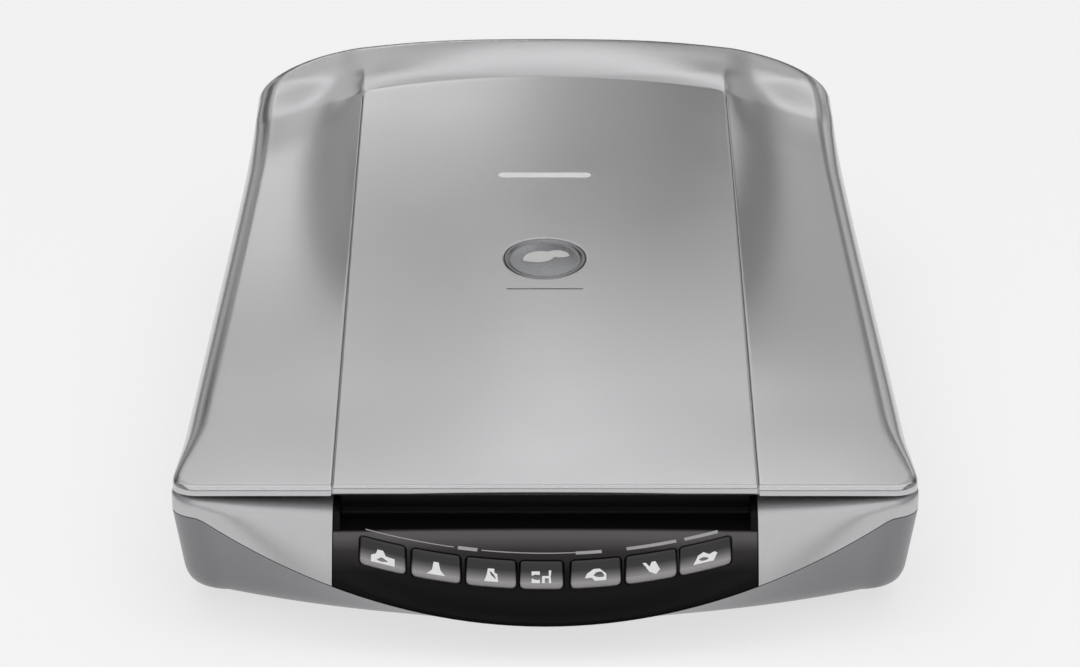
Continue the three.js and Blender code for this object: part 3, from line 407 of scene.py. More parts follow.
def add_node(material, kind, **settings):
    node = material.node_tree.nodes.new("ShaderNode" + kind)
    for name, value in settings.items():
        setattr(node, name, value)
    return node


def wire(material, start, end):
    material.node_tree.links.new(start, end)


def position(material):
    """The object's own coordinates, in metres."""
    return add_node(material, "TexCoord").outputs["Object"]


def noise(material, scale, detail=2.0, stretch=None):
    """A noise pattern in object coordinates, scale in cycles a metre, squeezed along each axis by stretch."""
    pattern = add_node(material, "TexNoise")
    pattern.inputs["Scale"].default_value = scale
    pattern.inputs["Detail"].default_value = detail
    place = position(material)
    if stretch:
        mapping = add_node(material, "Mapping")
        mapping.inputs["Scale"].default_value = stretch
        wire(material, place, mapping.inputs["Vector"])
        place = mapping.outputs["Vector"]
    wire(material, place, pattern.inputs["Vector"])
    return pattern.outputs["Fac"]


def ranged(material, value, low, high, start=0.0, end=1.0):
    """Maps a value from start..end to low..high."""
    node = add_node(material, "MapRange")
    node.inputs["From Min"].default_value = start
    node.inputs["From Max"].default_value = end
    node.inputs["To Min"].default_value = low
    node.inputs["To Max"].default_value = high
    wire(material, value, node.inputs["Value"])
    return node.outputs["Result"]


def ramp(material, value, *stops):
    """Colours by value: stops are (position, colour)."""
    node = add_node(material, "ValToRGB")
    elements = node.color_ramp.elements
    while len(elements) < len(stops):
        elements.new(0.5)
    for element, (at, color) in zip(elements, stops):
        element.position = at
        element.color = (*color, 1)
    wire(material, value, node.inputs["Fac"])
    return node.outputs["Color"]


def bump(material, shader, *layers):
    """Bump layers, each (pattern, strength, depth in millimetres)."""
    last = None
    for pattern, strength, depth in layers:
        node = add_node(material, "Bump")
        node.inputs["Strength"].default_value = strength
        node.inputs["Distance"].default_value = depth * MM
        wire(material, pattern, node.inputs["Height"])
        if last:
            wire(material, last, node.inputs["Normal"])
        last = node.outputs["Normal"]
    wire(material, last, shader.inputs["Normal"])


def shades(color, amount):
    """A darker and a lighter version of a colour."""
    return tuple(c * (1 - amount) for c in color), tuple(min(1, c * (1 + amount)) for c in color)


def mottled(material, shader, pattern, color, amount, start=0.3, end=0.7):
    """Colours the surface by a pattern, from a darker to a lighter version of a colour."""
    dark, light = shades(color, amount)
    wire(material, ramp(material, pattern, (start, dark), (end, light)), shader.inputs["Base Color"])


def uneven(material, shader, pattern, low, high, start=0.3, end=0.7):
    """Roughness by a pattern, from low to high."""
    wire(material, ranged(material, pattern, low, high, start, end), shader.inputs["Roughness"])


def lacquer(name, color, roughness, metallic):
    """Silver lacquer: fine metal flakes, and slightly uneven gloss."""
    material, shader = principled(name, color, roughness, metallic)
    mottled(material, shader, noise(material, 1500, 1), color, 0.03, 0.2, 0.8)
    uneven(material, shader, noise(material, 30, 1), roughness - 0.015, roughness + 0.015, 0.0, 1.0)
    return material


def moulded(name, color, roughness, grain=900.0, depth=0.04, contrast=0.10):
    """Moulded plastic with a fine spark-eroded grain."""
    material, shader = principled(name, color, roughness)
    mottled(material, shader, noise(material, 60, 4), color, contrast)
    uneven(material, shader, noise(material, 140, 3), roughness - 0.05, roughness + 0.05)
    bump(material, shader, (noise(material, grain, 2), 0.35, depth))
    return material


def print_and_painted_light_panel(name):
    """The control panel's plastic: a grey band, partly print and partly a painted reflection of light from above,
    fades to black towards the chin; the finger recess at the top is painted near-black as painted shade.
    """
    material, shader = principled(name, (0.02, 0.02, 0.02), 0.2, Specular_IOR_Level=0.07)
    split = add_node(material, "SeparateXYZ")
    wire(material, position(material), split.inputs["Vector"])
    height = ranged(material, split.outputs["Z"], 0.0, 1.0, 18 * MM, 44 * MM)
    colors = ramp(
        material,
        height,
        (0.0, (0.004, 0.0037, 0.0039)),
        (0.42, (0.008, 0.0072, 0.0076)),
        # the grey band: partly print, partly a painted reflection of the light from above
        (0.66, (0.04, 0.036, 0.038)),
        (0.8, (0.12, 0.11, 0.115)),
        (0.86, (0.13, 0.12, 0.125)),
        # painted shade: from here up, the floor of the finger recess is painted near-black
        (0.88, (0.005, 0.0047, 0.005)),
    )
    wire(material, colors, shader.inputs["Base Color"])
    uneven(material, shader, noise(material, 70, 4), 0.18, 0.24)
    bump(material, shader, (noise(material, 160, 2), 0.05, 0.03))
    return material


def glossy(name, color, roughness, coat):
    """A polished, coated surface with faint haze and very slight waviness."""
    material, shader = principled(name, color, roughness, Coat_Weight=coat, Coat_Roughness=0.06)
    mottled(material, shader, noise(material, 25, 3), color, 0.06)
    uneven(material, shader, noise(material, 70, 4), roughness - 0.02, roughness + 0.03)
    bump(material, shader, (noise(material, 160, 2), 0.06, 0.04))
    return material


def metal(name, color, roughness, stretch=(1, 1, 1), scale=900.0):
    """Bare metal with fine lines along one axis, or an even grain."""
    material, shader = principled(name, color, roughness, 1.0)
    lines = noise(material, scale, 3, stretch)
    mottled(material, shader, lines, color, 0.12)
    uneven(material, shader, lines, roughness - 0.08, roughness + 0.10)
    bump(material, shader, (lines, 0.15, 0.02))
    return material


def soft_rubber(name, color):
    material, shader = principled(name, color, 0.75)
    mottled(material, shader, noise(material, 90, 4), color, 0.25)
    bump(material, shader, (noise(material, 1500, 3), 0.5, 0.05))
    return material


def ribbed(name, color):
    """Rubber with fine teeth across its length, which runs along Y."""
    material, shader = principled(name, color, 0.6)
    teeth = add_node(material, "TexWave", bands_direction="Y")
    teeth.inputs["Scale"].default_value = 160
    teeth.inputs["Distortion"].default_value = 0
    wire(material, position(material), teeth.inputs["Vector"])
    mottled(material, shader, teeth.outputs["Fac"], color, 0.5)
    bump(material, shader, (teeth.outputs["Fac"], 0.6, 0.3))
    return material


def open_foam(name, color):
    material, shader = principled(name, color, 0.95)
    cells = add_node(material, "TexVoronoi")
    cells.inputs["Scale"].default_value = 900
    wire(material, position(material), cells.inputs["Vector"])
    mottled(material, shader, cells.outputs["Distance"], color, 0.35, 0, 0.6)
    bump(material, shader, (cells.outputs["Distance"], 0.8, 0.3), (noise(material, 300, 3), 0.4, 0.3))
    return material


def circuit_board(name, color):
    """Solder mask over copper tracks: the tracks show as slightly lighter, raised blocks."""
    material, shader = principled(name, color, 0.4)
    tracks = add_node(material, "TexBrick")
    for socket, value in {"Scale": 260, "Mortar Size": 0.06, "Row Height": 0.18, "Brick Width": 1.4}.items():
        tracks.inputs[socket].default_value = value
    dark, light = shades(color, 0.35)
    tracks.inputs["Color1"].default_value = (*color, 1)
    tracks.inputs["Color2"].default_value = (*light, 1)
    tracks.inputs["Mortar"].default_value = (*dark, 1)
    wire(material, position(material), tracks.inputs["Vector"])
    wire(material, tracks.outputs["Color"], shader.inputs["Base Color"])
    bump(material, shader, (tracks.outputs["Fac"], 0.3, 0.05), (noise(material, 700, 2), 0.1, 0.03))
    return material


def clear(name, color, roughness):
    """Glass, with a trace of dust on it."""
    material, shader = principled(name, color, roughness, Transmission_Weight=1.0, IOR=1.5)
    uneven(material, shader, noise(material, 900, 4), roughness, roughness + 0.05, 0.62, 0.8)
    return material


def key_plastic_painted_highlight(name):
    """Smoky key caps: black along the top, and paler towards the lower edge by a painted highlight."""
    material, shader = principled(name, (0.05, 0.046, 0.048), 0.22)
    split = add_node(material, "SeparateXYZ")
    wire(material, add_node(material, "UVMap").outputs["UV"], split.inputs["Vector"])
    height = split.outputs["Y"]
    colors = ramp(
        material,
        height,
        # painted highlight: the lower edge of each key is painted pale
        (0.0, (0.30, 0.285, 0.29)),
        (0.16, (0.34, 0.325, 0.33)),
        (0.42, (0.105, 0.098, 0.1)),
        (0.6, (0.014, 0.013, 0.0135)),
        (1.0, (0.009, 0.0085, 0.009)),
    )
    wire(material, colors, shader.inputs["Base Color"])
    uneven(material, shader, height, 0.30, 0.16, 0.1, 0.7)
    bump(material, shader, (noise(material, 400, 2), 0.08, 0.03))
    return material


SILVER = (0.57, 0.57, 0.58)
looks = {
    "silver_paint": lacquer("silver_lacquer", SILVER, 0.22, 0.88),
    # The tray's dark silver is partly its own darker tone and partly painted shade for the shade on the lower body.
    "case_silver": lacquer("tray_lacquer_and_painted_shade", (0.22, 0.22, 0.23), 0.34, 0.8),
    "gloss_black": print_and_painted_light_panel("panel_print_and_painted_light"),
    "button_smoke": key_plastic_painted_highlight("key_plastic_painted_highlight"),
    "badge_metal": metal("badge_metal", (0.27, 0.274, 0.283), 0.26, (1, 10, 1), 1500),
    "dark_plastic": moulded("dark_plastic", (0.035, 0.036, 0.039), 0.5),
    "liner_plastic": moulded("liner_plastic", (0.085, 0.085, 0.09), 0.5, 700, 0.06),
    "white_sheet": moulded("white_film", (0.83, 0.83, 0.81), 0.42, 300, 0.02, 0.015),
    "foam": open_foam("pad_foam", (0.13, 0.13, 0.135)),
    "clear_glass": clear("platen_glass_clear", (0.93, 0.975, 0.96), 0.0),
    "mirror": metal("mirror_silver", (0.85, 0.87, 0.88), 0.09, (1, 1, 1), 60),
    "steel": metal("zinc_plated_steel", (0.55, 0.56, 0.57), 0.34, (1, 9, 1), 260),
    "brass": metal("machined_brass", (0.62, 0.47, 0.2), 0.32, (1, 1, 8), 400),
    "rubber": soft_rubber("foot_rubber", (0.022, 0.022, 0.023)),
    "white_plastic": moulded("nylon", (0.78, 0.77, 0.72), 0.45, 800, 0.03),
    "board_green": circuit_board("solder_mask", (0.02, 0.14, 0.06)),
    "lamp_glass": glossy("lamp_phosphor", (0.9, 0.9, 0.86), 0.2, 0.6),
    "ribbon": moulded("ribbon_film", (0.72, 0.72, 0.69), 0.35, 500, 0.02),
}
belt_rubber = ribbed("belt_rubber", (0.03, 0.03, 0.031))
case_paint = lacquer("case_top_lacquer", (0.55, 0.55, 0.56), 0.42, 0.7)
mark_light = moulded("mark_print", (0.93, 0.93, 0.92), 0.4, 900, 0.01, 0.02)
mark_pale = moulded("mark_pale_print", (0.66, 0.66, 0.65), 0.4, 900, 0.01, 0.03)
mark_grey = moulded("mark_grey_print", (0.42, 0.41, 0.42), 0.4, 900, 0.01)
mark_dark = moulded("mark_dark_print", (0.16, 0.16, 0.165), 0.4, 900, 0.01)
epoxy = moulded("chip_epoxy", (0.015, 0.015, 0.016), 0.45, 1200, 0.02)
gold = metal("contact_gold", (0.78, 0.58, 0.25), 0.25, (1, 1, 1), 300)


# ---------------------------------------------------------------- lid surface


def lid_half(y):
    t = clamp((y - LID_FRONT_Y) / (LID_BACK_Y - LID_FRONT_Y))
    return lerp(FRONT_HALF, BACK_HALF, t * (1 + TAPER_BEND - TAPER_BEND * t))


CORNER_Y = LID_BACK_Y - bowed(LID_BACK_BOW, BACK_HALF - LID_CORNER_ACROSS) - LID_CORNER_ALONG
CORNER_HALF = lid_half(CORNER_Y)


def lid_back_edge(x):
    start = CORNER_HALF - LID_CORNER_ACROSS
    away = abs(x) - start
    if away <= 0:
        return LID_BACK_Y - bowed(LID_BACK_BOW, x)
    t = min(1.0, away / LID_CORNER_ACROSS)
    curve = (1 - t**LID_CORNER_POWER) ** (1 / LID_CORNER_POWER)
    return LID_BACK_Y - bowed(LID_BACK_BOW, start) - LID_CORNER_ALONG * (1 - curve)


def panel_back_edge(x):
    return PANEL_BACK_Y - bowed(PANEL_BACK_BOW, x)


def lid_level(x, y):
    """Height of the lid before its edges roll over: it rises to the back, the wings are scooped beside the centre
    panel, and a deck wraps round behind it."""
    t = clamp((y - LID_FRONT_Y) / (PANEL_BACK_Y - LID_FRONT_Y))
    deck = clamp((y - panel_back_edge(x)) / (lid_back_edge(x) - panel_back_edge(x)))
    wing = clamp((abs(x) - PANEL_HALF) / (lid_half(y) - PANEL_HALF))
    hollow = 1 - (1 - wing) ** 3
    curl = DECK_CURL * clamp((abs(x) - DECK_FLAT) / (lid_half(y) - DECK_FLAT)) ** 2
    scoop = WING_SCOOP * smooth(0.05, 0.9, t) * lerp(hollow, curl, smooth(0, 0.6, deck))
    crown = LID_CROWN * min(abs(x), PANEL_HALF) ** 2 / PANEL_HALF**2
    level = LID_FRONT_Z + LID_RISE * t * (1 + RISE_BEND - RISE_BEND * t) - crown * smooth(0, 0.2, t)
    early = panel_back_edge(x) - DECK_RUN_IN
    soft = clamp((y - early) / (lid_back_edge(x) - early)) ** 2
    climb = lerp(deck * (1.5 - 0.5 * deck), soft, smooth(0, WING_FEATHER, abs(x) - PANEL_HALF))
    return level - scoop + DECK_RISE * climb


def row_y(x, v):
    arc = panel_back_edge(x)
    return lerp(LID_FRONT_Y, arc, v) if v <= 1 else lerp(arc, lid_back_edge(x), v - 1)


def round_corner(a, b, fade=4.0):
    """Moves a point near a square corner onto round lines. a and b count corner radii from the centre of the
    rounding. Beyond the corner the move fades out, and is gone at fade."""
    if a <= 0 or b <= 0:
        return a, b
    reach = max(a, b)
    u, w = a / max(1.0, reach), b / max(1.0, reach)
    ru, rw = u * math.sqrt(1 - w * w / 2), w * math.sqrt(1 - u * u / 2)
    if reach <= 1:
        return ru, rw
    share = 1 - smooth(1.3, fade, reach)
    return lerp(a, reach * ru, share), lerp(b, reach * rw, share)


def lid_plan(s, v, off_x=0.0, off_y=0.0):
    """Plan point of the lid. s is 0 to 1 over the centre panel and 1 to 2 over the wing, and v is 0 to 1 along the
    panel and 1 to 2 over the deck behind it. The offsets are in millimetres."""
    side = -1 if s < 0 else 1
    share = abs(s)
    x = PANEL_HALF * share + off_x
    if share > 1:
        y = row_y(CORNER_HALF, v) + off_y
        for _ in range(3):
            x = lerp(PANEL_HALF, lid_half(y), share - 1) + off_x
            y = row_y(x, v) + off_y
    y = row_y(x, v) + off_y
    radius = PANEL_CORNER
    arc = panel_back_edge(x)
    a, b = round_corner((x - PANEL_HALF + radius) / radius, (y - arc + radius) / radius)
    x, y = PANEL_HALF + (a - 1) * radius, arc + (b - 1) * radius
    radius = LID_FRONT_CORNER
    half = lid_half(y)
    a, b = round_corner((x - half + radius) / radius, (LID_FRONT_Y - y + radius) / radius)
    return side * (half + (a - 1) * radius), LID_FRONT_Y - (b - 1) * radius


def lid_outline():
    """The lid's edge, counter-clockwise, from the front middle."""
    right = [lid_plan(s, 0) for s in eased(0, 2, 60)]
    right += [lid_plan(2, v) for v in spread(0, 0.05, 20)[1:] + spread(0.05, 2, 110)[1:]]
    right += [lid_plan(s, 2) for s in reversed(eased(0, 2, 130)[:-1])]
    return np.array(right + [(-x, y) for x, y in reversed(right[1:-1])])


def edge_distances(points, outline):
    """For each plan point, its distance to the outline and the unit direction inwards from the nearest edge."""
    starts = outline
    runs = np.roll(outline, -1, axis=0) - starts
    squares = (runs**2).sum(1)
    inward = np.stack([-runs[:, 1], runs[:, 0]], 1) / np.sqrt(squares)[:, None]
    distances, directions = [], []
    for point in np.asarray(points, float):
        off = point - starts
        t = np.clip((off * runs).sum(1) / squares, 0, 1)
        gaps = off - t[:, None] * runs
        lengths = np.sqrt((gaps**2).sum(1))
        k = int(lengths.argmin())
        distances.append(float(lengths[k]))
        directions.append(inward[k])
    return distances, directions


def shoulder(distance, y):
    """How far the lid's skin has dropped at that distance from its edge."""
    radius = lerp(FRONT_SHOULDER, BACK_SHOULDER, smooth(LID_FRONT_Y, LID_FRONT_Y + SHOULDER_RUN, y))
    inside = clamp(distance / radius)
    return radius * (1 - math.sqrt(1 - (1 - inside) ** 2))


FINGER_ARCH = 1.25


def finger_arch(x):
    """Lower edge of the lid's front, which arches up over the finger recess."""
    return LID_UNDER_Z + FINGER_ARCH * max(0.0, 1 - (x / RECESS_HALF) ** 2)


def lid_hem(x, y):
    """Lower edge of the lid's walls: level along the sides, up over the recess, and cut away round the hinges."""
    if y < LID_FRONT_Y + 4:
        return finger_arch(x)
    return lerp(LID_UNDER_Z, LID_TAIL_Z, smooth(*HEM_CLIMB, y))


# Columns and rows of the lid's grid: (place, offset in millimetres, depth of the seat there, from 0 to 1).
SEAT = PANEL_SHEET + GAP
LIP = [(0.30, 1.0), (0.31, 0.28), (0.38, 0.11), (0.55, 0.03), (0.85, 0.0)]


def lid_columns():
    half = [(s, 0.0, 1.0) for s in spread(0, 0.985, 10)]
    half += [(1.0, off, depth) for off, depth in LIP]
    half += [(s, 0.0, 0.0) for s in spread(1.03, 1.3, 8)]
    half += [(s, 0.0, 0.0) for s in eased(1.3, 2, 26)[1:]]
    return [(-s, -off, depth) for s, off, depth in reversed(half[1:])] + half


def lid_rows():
    front = [(0.0, off, 1.0) for off in (0.0, 0.04, 0.15, 0.35, 0.65, 1.05, 1.5, 2.1, 3.0)]
    panel = [(v, 0.0, 1.0) for v in spread(0.014, 0.985, 56)]
    lip = [(1.0, off, depth) for off, depth in LIP]
    deck = [(v, 0.0, 0.0) for v in spread(1.03, 1.5, 8)]
    back = [(v, 0.0, 0.0) for v in eased(1.5, 2, 18)[1:]]
    return front + panel + lip + deck + back


def add_lid_cover():
    columns, rows = lid_columns(), lid_rows()
    outline = lid_outline()
    plan, depths = [], []
    for s, off_x, depth_x in columns:
        for v, off_y, depth_y in rows:
            x, y = lid_plan(s, v, abs(off_x), off_y)
            plan.append((x, y))
            depths.append(min(depth_x, depth_y))
    distances, inward = edge_distances(plan, outline)
    outer, inner = [], []
    for (x, y), depth, distance, direction in zip(plan, depths, distances, inward):
        # The front rim of the seat lies behind the panel's front lip.
        push = max(0.0, SEAT * depth - (y - LID_FRONT_Y)) if depth > 0 else 0.0
        drop = lerp(shoulder(distance, y), SEAT, depth)
        outer.append((x, y + push, lid_level(x, y) - drop))
        inset = LID_SHELL * max(0.0, 1 - distance / HEM_BLEND)
        in_x, in_y = inset * direction[0], inset * direction[1]
        in_y = max(push, in_y) if push else in_y
        under = max(drop, SEAT * (abs(x) < PANEL_HALF + 3))
        inner.append((x + in_x, y + in_y, lid_level(x, y) - under - LID_SHELL * 0.8))
    faces = grid_faces(len(columns), len(rows))
    rim = grid_rim(len(columns), len(rows))

    def hem(skin, lift):
        return [(x, y, min(z, lid_hem(x, y) + lift)) for x, y, z in (skin[k] for k in rim)]

    rings_outer, rings_inner = [], []
    for lift, inset in LID_HEM_RINGS:
        ring = []
        for k, (x, y, z) in zip(rim, hem(outer, lift)):
            ring.append((x + inset * inward[k][0], y + inset * inward[k][1], z))
        rings_outer.append(ring)
        rings_inner.append(hem(inner, lift))
    skirt(outer, faces, rim, rings_outer)
    skirt(inner, [], rim, rings_inner)
    make("lid_shell", thicken(outer, inner, faces), "lid", "silver_paint", ["lid_cover"])


# ---------------------------------------------------------------- centre panel and badge

BADGE_Y = (badge_low.y + badge_high.y) / 2
BADGE_HALF_X = badge_high.x
BADGE_HALF_Y = (badge_high.y - badge_low.y) / 2
PANEL_LIP = [(0.0, 0.5), (0.05, 0.27), (0.17, 0.09), (0.4, 0.01), (0.7, 0.0)]  # (inwards, down) at its edges
PANEL_NOSE = 1.6  # rounding of the panel's front edge


def panel_top(x, y):
    return lid_level(x, y) + PANEL_PROUD


def panel_profile(x):
    """The panel's outer line at x, from the lower edge of its front lip to its back edge. Each row is y, z and the
    unit direction to the inside."""
    hem = max(LID_UNDER_Z + 0.7, finger_arch(x))
    top = panel_top(x, LID_FRONT_Y + PANEL_NOSE)
    points = [(LID_FRONT_Y + 0.55, hem, 0, 1), (LID_FRONT_Y + 0.2, hem + 0.12, 0.7, 0.7),
              (LID_FRONT_Y, hem + 0.5, 1, 0)]  # fmt: skip
    for angle in spread(0, math.pi / 2, 7):
        y = LID_FRONT_Y + PANEL_NOSE * (1 - math.cos(angle))
        points.append((y, top - PANEL_NOSE * (1 - math.sin(angle)), math.cos(angle), -math.sin(angle)))
    back = panel_back_edge(x)
    for v in spread(0, 1, 104)[1:-1]:
        y = lerp(LID_FRONT_Y + PANEL_NOSE, back - 1.2, v)
        points.append((y, panel_top(x, y), 0, -1))
    for inside, down in reversed(PANEL_LIP):
        points.append((back - inside, panel_top(x, back - inside) - down, 0, -1))
    return points


def panel_point(x, down, row):
    """A point of the panel's skin at x in a profile row, as far down as its side lip puts it."""
    y, z, toward_y, toward_z = row
    radius = PANEL_CORNER
    arc = panel_back_edge(x)
    a, b = round_corner((abs(x) - PANEL_HALF + radius) / radius, (y - arc + radius) / radius)
    rx, ry = PANEL_HALF + (a - 1) * radius, arc + (b - 1) * radius
    sign = -1 if x < 0 else 1
    dropped = 0.0 if abs(x) < PANEL_HALF - 1 else down
    return sign * rx, ry + toward_y * dropped, z + toward_z * dropped


def ring_morph(verts, faces, loop, inner_rings, outer_steps=(), place=None):
    """Fills the ground between closed inner rings and a loop of existing points. The rings hold finished points,
    innermost first, and as many as the loop. place(x, y) gives the points of further rings, at outer_steps of the
    way from the last ring to the loop."""
    count = len(loop)
    made = []
    for ring in inner_rings:
        made.append(list(range(len(verts), len(verts) + count)))
        verts += ring
    last = inner_rings[-1]
    for t in outer_steps:
        made.append(list(range(len(verts), len(verts) + count)))
        for k in range(count):
            goal = verts[loop[k]]
            verts.append(place(lerp(last[k][0], goal[0], t), lerp(last[k][1], goal[1], t)))
    made.append(loop)
    for near, far in zip(made, made[1:]):
        faces += ring_faces(near, far)


def badge_angle(x, y):
    return math.atan2((y - BADGE_Y) / BADGE_HALF_Y, x / BADGE_HALF_X)


def add_centre_panel():
    xs = mirrored(spread(0, PANEL_HALF - 1.0, 24))
    lips = [(PANEL_HALF - inside, down) for inside, down in reversed(PANEL_LIP)]
    columns = [(-x, d) for x, d in reversed(lips)] + [(x, 0.0) for x in xs] + lips
    profiles = [panel_profile(x) for x, _ in columns]
    along = len(profiles[0])
    outer, inner = [], []
    for (x, down), profile in zip(columns, profiles):
        for j, row in enumerate(profile):
            outer.append(panel_point(x, down, row))
            px, py, pz = panel_point(x, 0.0, row)
            from_back = along - 1 - j
            lift = PANEL_LIP[from_back][1] if from_back < len(PANEL_LIP) else 0.0
            inner.append((px, py + row[2] * PANEL_SHEET, pz + lift + row[3] * PANEL_SHEET))
    reach_x, reach_y = BADGE_HALF_X * 1.6, BADGE_HALF_Y * 1.5
    inside_x = [i for i, (x, _) in enumerate(columns) if abs(x) <= reach_x]
    middle = profiles[len(columns) // 2]
    inside_y = [j for j, row in enumerate(middle) if abs(row[0] - BADGE_Y) <= reach_y and row[3] == -1]
    i0, i1, j0, j1 = inside_x[0], inside_x[-1], inside_y[0], inside_y[-1]
    faces = grid_faces(len(columns), along, lambda i, j: i0 <= i < i1 and j0 <= j < j1)
    loop = [i * along + j for i, j in walk_round(i0, i1, j0, j1)]
    rings, rings_inner = [], []
    for outside, down in PANEL_LIP:
        ring, ring_inner = [], []
        for k in loop:
            angle = badge_angle(outer[k][0], outer[k][1])
            x = (BADGE_HALF_X + GAP + outside) * math.cos(angle)
            y = BADGE_Y + (BADGE_HALF_Y + GAP + outside) * math.sin(angle)
            ring.append((x, y, panel_top(x, y) - down))
            ring_inner.append((x, y, panel_top(x, y) - PANEL_SHEET))
        rings.append(ring)
        rings_inner.append(ring_inner)
    steps = [0.12, 0.28, 0.48, 0.72]
    ring_morph(outer, faces, loop, rings, steps, lambda x, y: (x, y, panel_top(x, y)))
    ring_morph(inner, [], loop, rings_inner, steps, lambda x, y: (x, y, panel_top(x, y) - PANEL_SHEET))
    make("lid_panel", thicken(outer, inner, faces), "lid", "silver_paint", ["lid_centre_panel"])


# The badge's section from its rim to its middle: (share of the half sizes, height over the panel).
BADGE_SECTION = [
    (1.0, -0.9), (1.0, -0.12), (0.992, 0.04), (0.97, 0.12), (0.945, 0.1), (0.925, -0.02), (0.9, -0.3),
    (0.875, -0.52), (0.85, -0.58), (0.8, -0.5), (0.7, -0.33), (0.55, -0.16), (0.4, -0.05),
    (0.25, 0.0), (0.1, 0.02),
]  # fmt: skip


def badge_height(x, y):
    """Height of the badge's face over the panel at a plan point."""
    share = math.hypot(x / BADGE_HALF_X, (y - BADGE_Y) / BADGE_HALF_Y)
    return float(np.interp(-share, [-s for s, _ in BADGE_SECTION], [h for _, h in BADGE_SECTION]))


def add_badge():
    sides = 96
    verts, faces = [], []
    for share, height in BADGE_SECTION:
        for k in range(sides):
            a = 2 * math.pi * k / sides
            x, y = share * BADGE_HALF_X * math.cos(a), BADGE_Y + share * BADGE_HALF_Y * math.sin(a)
            verts.append((x, y, panel_top(x, y) + height))
    for r in range(len(BADGE_SECTION) - 1):
        for k in range(sides):
            n = (k + 1) % sides
            faces.append((r * sides + k, r * sides + n, (r + 1) * sides + n, (r + 1) * sides + k))
    last = (len(BADGE_SECTION) - 1) * sides
    verts.append((0, BADGE_Y, panel_top(0, BADGE_Y) + BADGE_SECTION[-1][1]))
    faces += [(last + k, last + (k + 1) % sides, len(verts) - 1) for k in range(sides)]
    faces.append(tuple(reversed(range(sides))))
    make("badge_dome", (verts, faces), "lid", "badge_metal", ["lid_badge"])

    def leaf(scale_x, scale_y, shift_x, shift_y, turn):
        """A plain leaf outline, pointed at both ends."""
        outline = []
        for k in range(28):
            a = 2 * math.pi * k / 28
            u, v = scale_x * math.cos(a), scale_y * math.sin(a) * abs(math.sin(a)) ** 0.6
            outline.append((shift_x + u * math.cos(turn) - v * math.sin(turn),
                            BADGE_Y + shift_y + u * math.sin(turn) + v * math.cos(turn)))  # fmt: skip
        return outline

    def on_badge(x, y, height):
        return x, y, panel_top(x, y) + badge_height(x, y) + 0.32 * (height > 0) - 0.1

    leaves = [leaf(7.2, 5.4, -2.2, 1.2, 0.5), leaf(4.6, 3.6, 5.4, 4.2, -0.35)]
    relief = joined(*[prism_mesh(outline, on_badge, 1) for outline in leaves])
    bevel(make("badge_relief", relief, "lid", "badge_metal", material=mark_pale), 0.12)


PRINT_SUNK = 0.1  # how deep a raised mark reaches into its ground


def add_lid_marks():
    """Plain bars where a maker would print a name: one pale, above the badge, and one dark, below it."""

    def bar(name, middle_y, half_x, half_y, material, height):
        def place(x, y, lift):
            return x, y, panel_top(x, y) - PRINT_SUNK + (PRINT_SUNK + height) * (lift > 0)

        radius = half_y * 0.95
        outline = []
        for cx, sign in ((half_x - radius, 1), (-half_x + radius, -1)):
            for k in range(9):
                a = -math.pi / 2 + math.pi * k / 8
                outline.append((cx + sign * radius * math.cos(a), middle_y + sign * half_y * math.sin(a)))
        steps = 12
        lower = [(lerp(-half_x + radius, half_x - radius, k / steps), middle_y - half_y) for k in range(1, steps)]
        upper = [(-x, middle_y + half_y) for x, _ in lower]
        outline = outline[:9] + upper + outline[9:] + lower
        make(name, prism_mesh(outline, place, 1), "lid", "silver_paint", material=material)

    bar("name_bar", BADGE_Y + 86.5, 19.0, 2.6, mark_light, 0.12)
    bar("model_bar", BADGE_Y - 30, 15.0, 0.55, mark_dark, 0.05)


# ---------------------------------------------------------------- base: plan outlines


def front_share(y):
    """1 on the base's front face, 0 behind it."""
    return 1 - smooth(LID_FRONT_Y + FACE_END[0], LID_FRONT_Y + FACE_END[1], y)


def chin_height(x):
    return CHIN_Z + CREASE_CURL * x * x


def dipped_height(x):
    return DECK_Z - DECK_DIP + DECK_DIP_CURL * x * x


def crease_height(x, y):
    """The parting line: it climbs from under the chin to its level along the sides."""
    return lerp(min(SIDE_PARTING_Z, chin_height(x)), SIDE_PARTING_Z, smooth(*CREASE_END, y))


def deck_edge_height(x, y):
    return min(DECK_Z, lerp(DECK_Z, dipped_height(x), front_share(y)))


def base_plan(front_half, back_half, front_y, back_y, front_radius=12, back_radius=26, bow=0):
    """A base outline: half widths, front and back edges, corner radii, and the radius of a bowed front or 0."""
    return {"front_half": front_half, "back_half": back_half, "front_y": front_y, "back_y": back_y,
            "front_radius": front_radius, "back_radius": back_radius, "bow": bow}  # fmt: skip


CREASE = base_plan(FRONT_HALF, BACK_HALF, FRONT_Y, BASE_BACK_Y, bow=FRONT_BOW)
DECK_EDGE = base_plan(FRONT_HALF, BACK_HALF, LID_FRONT_Y - 1, BASE_BACK_Y)
BOTTOM_EDGE = base_plan(FRONT_HALF - 4, BACK_HALF - 3, FRONT_Y + 18, BASE_BACK_Y - 3, bow=FRONT_BOW)
FLOOR_EDGE = base_plan(FRONT_HALF - 12, BACK_HALF - 11, FRONT_Y + 28, BASE_BACK_Y - 11, bow=FRONT_BOW)
WINDOW = base_plan(WINDOW_HALF_X, WINDOW_HALF_X, -WINDOW_HALF_Y, WINDOW_HALF_Y, 2, 2)
MOUTH_STEPS = 14
CHEEK_STEPS = 10


